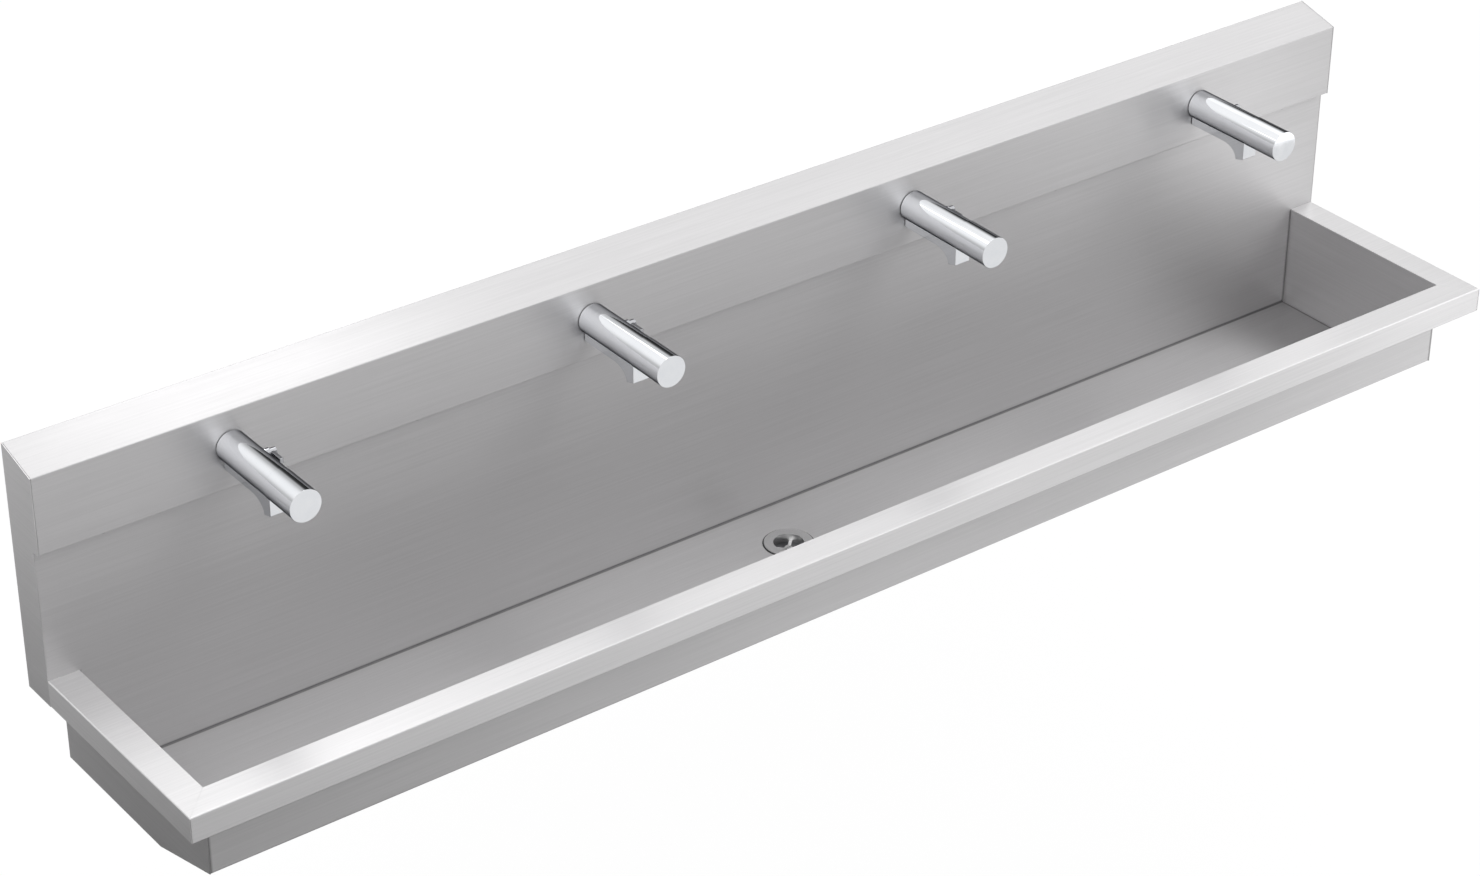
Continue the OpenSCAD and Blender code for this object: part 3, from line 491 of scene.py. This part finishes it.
# Painted shade: vertices near the fold at the splashback's foot and near the bowl's end walls get 1.
shade = bm.verts.layers.float.new("painted_corner_shade")
for corner in bm.verts:
    x, y, z = corner.co / MM
    at_fold = math.hypot(y + WALL_D, z - FLOOR_Z) < FOLD_REACH
    at_end = abs(x) > BOWL_X - SLACK and z < SLACK - PAINTED_SHADE_REACH
    corner[shade] = 1 if at_fold or at_end else 0
grained(bm)
piece(bm, "bowl", "brushed_sheet", "bowl_sheet", sheet=SHEET, edge=0.3, soft=30, crisp=creases)

# %% [markdown]
# ## The ends of the bowl
#
# A flat plate closes each end. It reaches back to the wall, so it also screens the housing from below.
# It is one face with its outline, extruded by the sheet's thickness, and its edges are broken a little
# as a deburring belt leaves them.

# %% The ends of the bowl
def extruded(points, shift):
    """A prism: one face through the points, carried along by the shift."""
    bm = bmesh.new()
    face = bm.faces.new([bm.verts.new(Vector(point) * MM) for point in points])
    swept = bmesh.ops.extrude_face_region(bm, geom=[face], use_keep_orig=True)
    bmesh.ops.translate(bm, verts=only(bmesh.types.BMVert, swept["geom"]), vec=Vector(shift) * MM)
    bmesh.ops.recalc_face_normals(bm, faces=bm.faces[:])
    return bm


back, front, foot = -end_high[1], -end_low[1], end_low[2]
side_view = [(back, -SHEET), (front, -SHEET), (front, FRONT_FOOT), (FLOOR_FRONT, foot), (back, foot)]
for side, name in ((-1, "left"), (1, "right")):
    bm = extruded([(side * BOWL_X, -d, z) for d, z in side_view], (side * SHEET, 0, 0))
    grained(bm, (0, 1, 0))
    piece(bm, f"bowl_end_plate_{name}", "brushed_sheet", f"bowl_end_{name}", edge=0.3)

# %% [markdown]
# ## The rim
#
# The rim is a strip folded down at its outer edge, with a small lip turned in below. Front and ends
# meet at mitres that are welded and ground until the seam can't be seen. Both strips are folded past
# the corner and cut with the same upright plane, a hair's breadth apart. The faces that get the
# painted highlight, a lighter steel colour, are marked.

# %% The rim at the front
def painted_rim_highlight(bm):
    """Marks the rim's faces in front of the service cover, which get a painted highlight."""
    layer = bm.loops.layers.float.new("painted_rim_highlight")
    for face in bm.faces:
        for loop in face.loops:
            loop[layer] = 1 if -face.calc_center_median().y > COVER_D * MM else 0


RIM_LIP, RIM_BEND, SEAM = 10 + SHEET, 2.2, 0.03
MITRE = Vector((RIM_OUT - RIM_IN, HALF - BOWL_X, 0)).normalized()
bm = folded([(RIM_IN, 0), (RIM_OUT, 0), (RIM_OUT, RIM_FOOT), (RIM_OUT - RIM_LIP, RIM_FOOT)], -HALF, HALF,
            bend=RIM_BEND)
for side in (-1, 1):
    cut(bm, (side * (HALF - SEAM), -RIM_OUT, 0), (side * MITRE.x, MITRE.y, 0))
grained(bm)
painted_rim_highlight(bm)
piece(bm, "rim_strip_front", "brushed_sheet", "rim_front", sheet=SHEET, edge=0.3)

# %% [markdown]
# ## The cheeks
#
# Each end cheek is one sheet: the upright end of the housing, the turned-down edge of the rim and, bent
# inwards, the end strip of the rim with its lip. The strip is folded like the front rim, turned a
# quarter round, and its flat side is joined to the upright part by merging their shared corners.

# %% The cheeks
FACE_TOP = 330
for side, name in ((-1, "left"), (1, "right")):
    bm = folded([(BOWL_X, 0), (HALF, 0), (HALF, RIM_FOOT), (HALF - RIM_LIP, RIM_FOOT)], WALL_D, RIM_OUT,
                bend=RIM_BEND)
    bmesh.ops.transform(bm, verts=bm.verts[:], matrix=Matrix.Rotation(math.radians(-90), 4, "Z"))
    for corner in bm.verts:
        corner.co.x, corner.co.y = abs(corner.co.x), -abs(corner.co.y)
    cut(bm, (HALF, -RIM_OUT, 0), (-MITRE.x, -MITRE.y, 0))
    upright = [(0, COVER_TOP), (COVER_D, FACE_TOP), (COVER_D, COVER_FOOT), (WALL_D, COVER_FOOT),
               (WALL_D, -RIM_BEND), (WALL_D, RIM_FOOT + RIM_BEND), (WALL_D, RIM_FOOT), (0, RIM_FOOT)]
    bm.faces.new([bm.verts.new((HALF * MM, -d * MM, z * MM)) for d, z in upright])
    bmesh.ops.remove_doubles(bm, verts=bm.verts[:], dist=0.05 * MM)
    bmesh.ops.recalc_face_normals(bm, faces=bm.faces[:])
    top = max(bm.faces, key=lambda f: f.normal.z ** 2 * f.calc_area())
    if top.normal.z < 0:
        bmesh.ops.reverse_faces(bm, faces=bm.faces[:])
    if side < 0:
        bmesh.ops.scale(bm, verts=bm.verts[:], vec=(-1, 1, 1))
        bmesh.ops.reverse_faces(bm, faces=bm.faces[:])
    grained(bm)
    painted_rim_highlight(bm)
    piece(bm, f"cheek_{name}", "brushed_sheet", f"end_cheek_{name}", sheet=SHEET, edge=0.3)

# %% [markdown]
# ## The service cover
#
# The cover hooks over the wall rail at the back, slopes down to the front and is folded in again at
# its lower edge, where five screws hold it. It lifts off when a tap or a pipe has to be reached.

# %% The service cover
WALL_GAP, HOOK, FOOT_FOLD = 0.1, 14, 14
side_view = [(WALL_GAP, COVER_TOP - HOOK), (WALL_GAP, COVER_TOP), (COVER_D, FACE_TOP),
             (COVER_D, COVER_FOOT), (COVER_D - FOOT_FOLD, COVER_FOOT)]
bm = folded(side_view, cover_low[0], cover_high[0], bend=1.8)
grained(bm)
piece(bm, "cover_sheet", "brushed_sheet", "service_cover", sheet=SHEET, edge=0.3)

# %% [markdown]
# ## Turned pieces
#
# Barrels, caps and nuts are turned on a lathe, so they are drawn as half a section and spun round
# their axis. The corners of the section are rounded before the spin, which gives every ring edge its
# small radius in one step.

# %% Turned pieces
AXES = {"X": Vector((1, 0, 0)), "Y": Vector((0, -1, 0)), "Z": Vector((0, 0, 1))}
CAPS = [box_mm(f"push_cap_{number}") for number in range(1, 5)]
cap_low, cap_high, cap_middle = CAPS[0]
TAPS_X, TAP_Z = [middle[0] for _, _, middle in CAPS], cap_middle[2]


def turned(section, axis, round_off=0.5, steps=96, closed=True, cent=(0, 0, 0)):
    """Spins a section round an axis. The section's points are (along the axis, radius)."""
    bm = bmesh.new()
    away, out = AXES[axis], AXES["X" if axis == "Z" else "Z"]
    corners = [bm.verts.new((away * a + out * r) * MM) for a, r in section]
    for pair in zip(corners, corners[1:] + (corners[:1] if closed else [])):
        bm.edges.new(pair)
    sharp = [c for c in corners if len(c.link_edges) == 2]
    bmesh.ops.bevel(bm, geom=sharp, offset=round_off * MM, segments=2, profile=0.5,
                    affect="VERTICES", material=-1, clamp_overlap=True)
    bmesh.ops.spin(bm, geom=bm.verts[:] + bm.edges[:], axis=away, cent=(0, 0, 0),
                   steps=steps, angle=math.tau, use_merge=True)
    bmesh.ops.remove_doubles(bm, verts=bm.verts[:], dist=0.002 * MM)
    bmesh.ops.recalc_face_normals(bm, faces=bm.faces[:])
    bmesh.ops.translate(bm, verts=bm.verts[:], vec=Vector(cent) * MM)
    return bm


def join(bm, other):
    """Adds another mesh's faces to this one."""
    mesh = bpy.data.meshes.new("joined")
    other.to_mesh(mesh)
    other.free()
    bm.from_mesh(mesh)
    bpy.data.meshes.remove(mesh)
    return bm


print("taps at", TAPS_X, "mm, their axes at the height", TAP_Z)

# %% [markdown]
# ## Rib and spout
#
# Below each barrel a rib sweeps down into the spout. Its side outline is one face: the outline is
# extruded by the spout's width, and the long edges are broken. Then the outlet's bore is pierced in the
# slanting lower face and pushed in square to it. Two thin beads lie where the rib meets the barrel.

# %% Rib and spout
BARREL_R, SPOUT_HALF, FILLET = 23.9, 14, 1.5
COLLAR, SPOUT_FRONT = COVER_D + 1, COVER_D + 122
SWEEP_D, SWEEP_LONG, SWEEP_DROP, RIB_FOOT = COVER_D + 73, 32, 21, -33
RIB_TOP, SPOUT_FOOT = -5, -49
OUTLET_D, OUTLET_Z, OUTLET_R, OUTLET_DEEP = COVER_D + 113.5, -51.5, 7.1, 13
BEAD_LONG, BEAD_INSIDE = 120, (12.5, -17)


def rib_and_spout():
    """The rib with the spout and its bore, about the tap's own axis."""
    curve = [(SWEEP_D + SWEEP_LONG * math.sin(a), RIB_FOOT - SWEEP_DROP * (1 - math.cos(a)))
             for a in (math.radians(9 * k) for k in range(11))]
    front = [(SPOUT_FRONT, SPOUT_FOOT), (SPOUT_FRONT, RIB_TOP)]
    side_view = [(COLLAR, RIB_TOP), (COLLAR, RIB_FOOT)] + curve + front
    rib = extruded([(-SPOUT_HALF, -d, z) for d, z in side_view], (2 * SPOUT_HALF, 0, 0))
    sharp = [line for line in rib.edges if line.calc_face_angle(0) > math.radians(30)]
    bmesh.ops.bevel(rib, geom=sharp, offset=0.8 * MM, segments=3, profile=0.5, affect="EDGES", material=-1)
    rib.normal_update()
    outlet = Vector((0, -OUTLET_D, OUTLET_Z)) * MM
    under = min(rib.faces, key=lambda f: (f.calc_center_median() - outlet).length)
    inwards = -under.normal
    hole = pierce(rib, under, outlet / MM, OUTLET_R)
    bore = bmesh.ops.extrude_edge_only(rib, edges=hole)
    deep = only(bmesh.types.BMVert, bore["geom"])
    bmesh.ops.translate(rib, verts=deep, vec=inwards * OUTLET_DEEP * MM)
    bottom = [line for line in rib.edges if all(corner in deep for corner in line.verts)]
    bmesh.ops.contextual_create(rib, geom=bottom)
    bmesh.ops.recalc_face_normals(rib, faces=rib.faces[:])
    return rib


def bead(side):
    """A hollow fillet between the barrel and one side of the rib."""
    low = -math.sqrt((BARREL_R + FILLET) ** 2 - (SPOUT_HALF + FILLET) ** 2)
    arc = [(SPOUT_HALF + FILLET * (1 - math.cos(a)), low + FILLET * math.sin(a))
           for a in (math.radians(k * 9) for k in range(6))]
    return extruded([(side * u, -COLLAR, v) for u, v in arc + [BEAD_INSIDE]], (0, -BEAD_LONG, 0))


print("spouts reach", SPOUT_FRONT, "mm from the wall")

# %% [markdown]
# ## Tap bodies
#
# The body is a turned barrel with a chamber for the cartridge and a shank that goes through the cover.
# The rib and the spout are joined to it, and so is the small boss on the right that carries the selector.

# %% Tap bodies
tap_low, tap_high, _ = box_mm("tap_body_1")
SHANK_END, BARREL_END, CHAMBER_BACK = -tap_high[1], -tap_low[1], -box_mm("cartridge_1")[1][1]
SHANK_R, CHAMBER_R, WATER_WAY_R = 14, 16, 8
SELECTOR_D, STEM_X, DISC_X, STEM_R = COVER_D + 48, 11, 25.5, 4
BOSS_R, BOSS_END, STEM_HOLE_R = 9, DISC_X - 0.3, STEM_R + 0.1
for number, x in enumerate(TAPS_X, 1):
    bm = turned([(SHANK_END, WATER_WAY_R), (SHANK_END, SHANK_R), (COLLAR, SHANK_R), (COLLAR, BARREL_R),
                 (BARREL_END, BARREL_R), (BARREL_END, CHAMBER_R), (CHAMBER_BACK, CHAMBER_R),
                 (CHAMBER_BACK, WATER_WAY_R)], "Y")
    join(bm, rib_and_spout())
    for side in (-1, 1):
        join(bm, bead(side))
    join(bm, turned([(0, 0), (0, BOSS_R), (BOSS_END, BOSS_R), (BOSS_END, STEM_HOLE_R),
                     (STEM_X, STEM_HOLE_R), (STEM_X, 0)], "X", closed=False, steps=48,
                    cent=(0, -SELECTOR_D, 0)))
    bmesh.ops.translate(bm, verts=bm.verts[:], vec=Vector((x, 0, TAP_Z)) * MM)
    piece(bm, f"tap_casting_{number}", "tap_chrome", f"tap_body_{number}")

# %% [markdown]
# ## Push caps and selectors
#
# The cap is a thin turned cup that slides over the barrel's front. The selector is a turned disc with
# a hub and a short flat arm that points forward in the middle of its range.

# %% Push caps and selectors
def bar(bm, middle, size, broken, steps, turn=Matrix.Identity(4)):
    """Adds a flat bar with broken edges, turned round its own middle."""
    place = Matrix.Translation(Vector(middle) * MM) @ turn @ Matrix.Diagonal((*(Vector(size) * MM), 1))
    cube = bmesh.ops.create_cube(bm, size=1, matrix=place)
    rims = list(dict.fromkeys(line for corner in cube["verts"] for line in corner.link_edges))
    bmesh.ops.bevel(bm, geom=rims, offset=broken * MM, segments=steps, profile=0.5, affect="EDGES",
                    material=-1)


CAP_BACK, CAP_FRONT, CAP_R = -cap_high[1], -cap_low[1], cap_high[2] - cap_middle[2]
CAP_WALL, CAP_FACE, SOCKET_R, ROD_R, SOCKET_BACK, ROD_END = 0.6, 2.5, 6.5, 3.1, 262, 269.9
HUB_X, HUB_END, DISC_R, HUB_R = 31.5, 41.5, 8, 6
LEVER_X, LEVER_THICK, LEVER_LONG, LEVER_WIDE = 34.25, 5.5, 29, 8
for number, x in enumerate(TAPS_X, 1):
    bm = turned([(CAP_FRONT, 0), (CAP_FRONT, CAP_R), (CAP_BACK, CAP_R), (CAP_BACK, CAP_R - CAP_WALL),
                 (CAP_FRONT - CAP_FACE, CAP_R - CAP_WALL), (CAP_FRONT - CAP_FACE, SOCKET_R),
                 (SOCKET_BACK, SOCKET_R), (SOCKET_BACK, ROD_R), (ROD_END, ROD_R), (ROD_END, 0)], "Y",
                closed=False, round_off=0.4)
    bmesh.ops.translate(bm, verts=bm.verts[:], vec=Vector((x, 0, TAP_Z)) * MM)
    piece(bm, f"cap_{number}", "tap_chrome", f"push_cap_{number}", body=f"push_{number}")
    bm = turned([(STEM_X, 0), (STEM_X, STEM_R), (DISC_X, STEM_R), (DISC_X, DISC_R), (HUB_X, DISC_R),
                 (HUB_X, HUB_R), (HUB_END, HUB_R), (HUB_END, 0)], "X", closed=False, steps=48)
    bar(bm, (LEVER_X, -LEVER_LONG / 2, 0), (LEVER_THICK, LEVER_LONG, LEVER_WIDE), broken=0.8, steps=3)
    bmesh.ops.translate(bm, verts=bm.verts[:], vec=Vector((x, -SELECTOR_D, TAP_Z)) * MM)
    lever = piece(bm, f"selector_lever_{number}", "tap_chrome", f"selector_{number}",
                  body=f"selector_{number}")
    lever.data.materials[0] = finishes["selector_chrome"]

# %% [markdown]
# ## Return springs
#
# A coil spring inside each cap pushes it out again. A round wire is spun round the tap's axis and moved
# a little with every step, which draws the whole coil in one operation. When the cap is pushed, the
# coil is squashed towards its back end, which stands on the cartridge.

# %% Return springs
SPRING_BACK, SPRING_FRONT = 250.3, 269.7
SPRING_R, WIRE_R, TURNS, STEPS = 8.5, 0.9, 6, 28
for number, x in enumerate(TAPS_X, 1):
    bm = bmesh.new()
    wire = bmesh.ops.create_circle(bm, segments=12, radius=WIRE_R * MM)
    bmesh.ops.translate(bm, verts=wire["verts"],
                        vec=Vector((x + SPRING_R, -(SPRING_BACK + WIRE_R), TAP_Z)) * MM)
    back_end = bm.edges[:]
    climb = (SPRING_FRONT - SPRING_BACK - 2 * WIRE_R) / (TURNS * STEPS)
    coil = bmesh.ops.spin(bm, geom=bm.verts[:] + bm.edges[:], cent=Vector((x, 0, TAP_Z)) * MM,
                          axis=(0, -1, 0), dvec=(0, -climb * MM, 0), steps=TURNS * STEPS,
                          angle=TURNS * math.tau)
    front_end = only(bmesh.types.BMEdge, coil["geom_last"])
    for end in (back_end, front_end):
        bmesh.ops.contextual_create(bm, geom=end)
    bmesh.ops.recalc_face_normals(bm, faces=bm.faces[:])
    spring = piece(bm, f"cap_spring_{number}", "spring_steel", f"return_spring_{number}")
    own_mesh(spring)

# %% [markdown]
# ## The drain
#
# A thin polished flange lies on the sump with a cup below it. Four arms carry a hub, and the screw in
# the hub draws the whole waste together from above. A thin black ring round the flange's edge is
# painted shade, the dark gap where the flange meets the sump.

# %% The drain
FLANGE_R, FLANGE_TOP, CUP_FOOT = drain_high[0], drain_high[2], drain_low[2]
FLANGE_FOOT, MOUTH_R, CUP_R, SCREW_R, MIDDLE_R = SUMP_Z + 0.5, 23.5, 25, 3.3, 8
ARM_HIGH, ARM_LONG, ARM_WIDE, ARM_OUT = 2, 17, 5, 15.6
SHADE_RING_IN, SHADE_RING_OUT, SHADE_RING_TOP = FLANGE_R + 0.1, FLANGE_R + 1.9, SUMP_Z + 0.8
bm = turned([(FLANGE_FOOT, CUP_R), (FLANGE_FOOT, FLANGE_R), (FLANGE_TOP, FLANGE_R), (FLANGE_TOP, MOUTH_R),
             (CUP_FOOT, MOUTH_R), (CUP_FOOT, CUP_R)], "Z", cent=(0, -SUMP_D, 0))
join(bm, turned([(CUP_FOOT, SCREW_R), (CUP_FOOT, MIDDLE_R), (CUP_FOOT + ARM_HIGH, MIDDLE_R),
                 (CUP_FOOT + ARM_HIGH, SCREW_R)], "Z", round_off=0.3, steps=48, cent=(0, -SUMP_D, 0)))
for quarter in range(4):
    turn = Matrix.Rotation(math.radians(45 + 90 * quarter), 4, "Z")
    middle = turn @ Vector((ARM_OUT, 0, 0)) + Vector((0, -SUMP_D, CUP_FOOT + ARM_HIGH / 2))
    bar(bm, middle, (ARM_LONG, ARM_WIDE, ARM_HIGH), broken=0.3, steps=2, turn=turn)
piece(bm, "drain_flange", "polished_steel", "waste_strainer")
# Painted shade: a thin black ring just outside the flange stands for the dark gap at its edge.
bm = turned([(SUMP_Z, SHADE_RING_IN), (SUMP_Z, SHADE_RING_OUT), (SHADE_RING_TOP, SHADE_RING_OUT), (SHADE_RING_TOP, SHADE_RING_IN)], "Z",
            round_off=0.3, cent=(0, -SUMP_D, 0))
piece(bm, "drain_edge_shade_ring", "black_rubber")

# %% [markdown]
# ## A bent hose
#
# A cold and a hot hose climb from the pipes to each tap in a slack S. A hose is a ring of points that
# is extruded step by step, and each step turns the ring a little and moves it on. The UV map is
# written as the rings are made, so the braid follows the bends.

# %% A bent hose
def hose(bm, x, start, rise, step, radius=4.5, rings=14):
    """An S of two equal bends from start, climbing by rise and moving by step away from the wall."""
    bend_r = (rise * rise + step * step) / (4 * abs(step))
    bend = 2 * math.atan(abs(step) / rise)
    lean = math.copysign(1, step)
    layer = bm.loops.layers.uv.get("grain") or bm.loops.layers.uv.new("grain")
    ring = bmesh.ops.create_circle(bm, segments=20, radius=radius * MM)
    bmesh.ops.translate(bm, verts=ring["verts"], vec=Vector((x, -start[0], start[1])) * MM)
    edges = list(dict.fromkeys(line for v in ring["verts"] for line in v.link_edges))
    lower_end = edges
    here = Vector((0, 0))
    angle = 0
    length = 0
    for k in range(2 * rings):
        turn = (1 if k < rings else -1) * bend / rings
        middle = angle + turn / 2
        chord = 2 * bend_r * math.sin(abs(turn) / 2)
        swept = bmesh.ops.extrude_edge_only(bm, edges=edges)
        fresh, lines, faces = (only(kind, swept["geom"]) for kind in (
            bmesh.types.BMVert, bmesh.types.BMEdge, bmesh.types.BMFace))
        centre = Vector((x, -start[0] - here.x * lean, start[1] + here.y)) * MM
        bmesh.ops.rotate(bm, verts=fresh, cent=centre, matrix=Matrix.Rotation(turn * lean, 3, "X"))
        move = Vector((0, -lean * chord * math.sin(middle), chord * math.cos(middle))) * MM
        bmesh.ops.translate(bm, verts=fresh, vec=move)
        for face in faces:
            spot = face.calc_center_median() - centre
            face_way = math.atan2(spot.x, -spot.y)
            for loop in face.loops:
                spot = loop.vert.co - centre
                swing = (math.atan2(spot.x, -spot.y) - face_way + math.pi) % math.tau - math.pi
                climbed = length + (chord if loop.vert in fresh else 0)
                loop[layer].uv = ((face_way + swing) * radius * MM, climbed * MM)
        here += Vector((chord * math.sin(middle), chord * math.cos(middle)))
        angle += turn
        length += chord
        edges = [line for line in lines if all(v in fresh for v in line.verts)]
    for end in (lower_end, edges):
        bmesh.ops.contextual_create(bm, geom=end)


print("each hose has two equal bends")

# %% [markdown]
# ## Braided hoses
#
# Where a hose starts and ends is read from the pipes and from the blocks behind the taps. A hexagon nut
# and a crimped sleeve close each end. A nut is a turned piece too, with only six steps round its axis.

# %% Braided hoses
block_low, _, block_middle = box_mm("inlet_blocks")
BLOCK_D, BLOCK_FOOT = -block_middle[1], block_low[2]
BESIDE, NUT_R, NUT_HIGH, SLEEVE_R, SLEEVE_HIGH, BORE_R = 13, 9, 13, 5.6, 9, 4
for number, x in enumerate(TAPS_X, 1):
    bm = bmesh.new()
    for dx, pipe in ((BESIDE, "cold_manifold"), (-BESIDE, "hot_manifold")):
        _, (_, _, foot), (_, pipe_y, _) = box_mm(pipe)
        hose(bm, x + dx, (-pipe_y, foot + NUT_HIGH), BLOCK_FOOT - foot - 2 * NUT_HIGH, BLOCK_D + pipe_y)
        for at, low in ((-pipe_y, foot), (BLOCK_D, BLOCK_FOOT - NUT_HIGH)):
            sleeve = low + NUT_HIGH if low == foot else low - SLEEVE_HIGH
            for start, high, outer_r, steps, round_off in ((low, NUT_HIGH, NUT_R, 6, 0.6),
                                                           (sleeve, SLEEVE_HIGH, SLEEVE_R, 32, 0.5)):
                join(bm, turned([(start, BORE_R), (start, outer_r), (start + high, outer_r),
                                 (start + high, BORE_R)], "Z", round_off=round_off, steps=steps,
                                cent=(x + dx, -at, 0)))
    bmesh.ops.recalc_face_normals(bm, faces=bm.faces[:])
    piece(bm, f"braided_hoses_{number}", "hose_braid", f"hoses_{number}")

# %% [markdown]
# ## The stage
#
# The photograph shows the trough on white. A large floor lies well below it, as far as the camera sees.
# The sizes and places of the floor and the lamps are in metres.

# %% The stage
GROUND_Z, GROUND_HALF = -0.85, 20
bm = bmesh.new()
bmesh.ops.create_grid(bm, x_segments=1, y_segments=1, size=GROUND_HALF,
                      matrix=Matrix.Translation((0, 0, GROUND_Z)))
mesh = bpy.data.meshes.new("floor")
bm.to_mesh(mesh)
bm.free()
floor = bpy.data.objects.new("floor", mesh)
bpy.context.scene.collection.objects.link(floor)
print("floor at", mesh.vertices[0].co.z, "m")

# %% [markdown]
# ## The floor's finish
#
# The floor is white to the camera and to the metal that mirrors it. A tenth of it is a matt surface, so
# that it still keeps the trough's soft shadow. Its underside is clear, so that the trough can be looked
# at from below. Behind the trough's left end a painted shadow dims the floor where only the metal sees
# it. This painted shade darkens the left cheek and the lower flanks of the taps.

# %% The floor's finish
DIM_X, DIM_Y, DIM_WIDE, DIM_DEEP, DIM_EDGE, DIM_LEVEL = -1.6, 0.1, 2.7, 2.5, 0.6, 0.02
WHITE_SHARE = 0.9
paper = bpy.data.materials.new("pale_floor")
paper.use_nodes = True
tree = paper.node_tree
tree.nodes.clear()
matt = add(tree, "ShaderNodeBsdfDiffuse", {"Color": (0.8, 0.8, 0.8, 1)}).outputs["BSDF"]
centred = add(tree, "ShaderNodeMapping", {"Vector": add(tree, "ShaderNodeTexCoord").outputs["Object"],
                                          "Location": (-DIM_X / DIM_WIDE, -DIM_Y / DIM_DEEP, 0),
                                          "Scale": (1 / DIM_WIDE, 1 / DIM_DEEP, 0)}).outputs["Vector"]
# Painted shadow: the floor's glow falls to DIM_LEVEL in a soft patch behind the trough's left end, seen
# only in reflections.
painted_shadow_patch = add(tree, "ShaderNodeTexGradient", {"Vector": centred}, gradient_type="SPHERICAL").outputs["Fac"]
dimmed = between(tree, painted_shadow_patch, 1, DIM_LEVEL, 0, DIM_EDGE, interpolation_type="SMOOTHSTEP")
ray = add(tree, "ShaderNodeLightPath").outputs
strength = reckoned(tree, "MAXIMUM", ray["Is Camera Ray"], dimmed)
glow = add(tree, "ShaderNodeEmission", {"Color": (1, 1, 1, 1), "Strength": strength}).outputs["Emission"]
mirrored = reckoned(tree, "MAXIMUM", ray["Is Glossy Ray"], ray["Is Transmission Ray"])
seen = reckoned(tree, "MULTIPLY_ADD", ray["Is Camera Ray"], WHITE_SHARE, mirrored)
upper = add(tree, "ShaderNodeMixShader", {"Fac": seen, 1: matt, 2: glow}).outputs["Shader"]
from_below = add(tree, "ShaderNodeNewGeometry").outputs["Backfacing"]
clear = add(tree, "ShaderNodeBsdfTransparent").outputs["BSDF"]
both = add(tree, "ShaderNodeMixShader", {"Fac": from_below, 1: upper, 2: clear}).outputs["Shader"]
add(tree, "ShaderNodeOutputMaterial", {"Surface": both})
mesh.materials.append(paper)
print("floor finish:", len(tree.nodes), "nodes")

# %% [markdown]
# ## Light
#
# Steel shows what stands around it more than it shows lamps, so the light here is a room: pale grey
# walls, two large soft ceiling lights, a third light beside the camera and a dark corner at the back on
# the right. Each is a round soft patch of the world, found from its direction. The ceiling lights make
# the rim and the cover's top bright and lie as white bands on the taps. The third light brightens the
# cover, which the taps mirror. The dark corner makes the taps' upper flanks dark. To the camera the
# room is white, as the floor is, so that every view has the same background.

# %% Light
WALLS = 0.65
PATCHES = {"ceiling, right": ((0.56, -0.04, 0.82), 0.62, 0.80, 1.05),
           "ceiling, back left": ((-0.30, 0.45, 0.84), 0.72, 0.95, 0.6),
           "beside the camera": ((-0.52, -0.68, 0.51), 0.70, 0.90, 1.5),
           "dark corner": ((0.72, 0.68, 0.12), 0.82, 0.94, -0.6)}
world = bpy.data.worlds.new("pale_room")
bpy.context.scene.world = world
world.use_nodes = True
tree = world.node_tree
heading = add(tree, "ShaderNodeTexCoord").outputs["Generated"]
level = WALLS
for towards, edge, full, change in PATCHES.values():
    near = add(tree, "ShaderNodeVectorMath", {0: heading, 1: towards}, operation="DOT_PRODUCT")
    soft = between(tree, near.outputs["Value"], 0, change, edge, full, interpolation_type="SMOOTHSTEP")
    level = reckoned(tree, "ADD", level, soft)
camera_ray = add(tree, "ShaderNodeLightPath").outputs["Is Camera Ray"]
fill(tree, tree.nodes["Background"], {"Color": (1, 1, 1, 1),
                                      "Strength": reckoned(tree, "MAXIMUM", level, camera_ray)})
print("world:", len(tree.nodes), "nodes,", len(PATCHES), "patches")

# %% [markdown]
# ## Two strip lamps
#
# The room alone lights a flat sheet evenly from end to end. In the photograph the left end of the top
# and the rim is brighter, and so is the right end of the splashback. Two weak strip lamps close to the
# trough do that: a near lamp meets each place at another angle, and the brushing spreads its gloss
# across the trough but hardly along it.

# %% Two strip lamps
LAMP_WIDE = 0.45
LAMPS = {"splashback, right end": ((2.15, -1.55, 0.15), (1.2, -0.06, 0.05), 1.5, 2.0),
         "top, left end": ((-0.26, 0.59, 1.62), (-1.18, -0.25, 0), 0.9, 1.9)}
for place, aim, long, watts in LAMPS.values():
    strip = bpy.data.lights.new("strip_lamp", "AREA")
    strip.shape = "RECTANGLE"
    strip.size, strip.size_y = LAMP_WIDE, long
    strip.energy = watts
    lamp = bpy.data.objects.new("strip_lamp", strip)
    lamp.location = place
    lamp.rotation_euler = (Vector(aim) - lamp.location).to_track_quat("-Z", "Y").to_euler()
    lamp.visible_camera = False
    bpy.context.scene.collection.objects.link(lamp)
print("lamps:", len(bpy.data.lights))
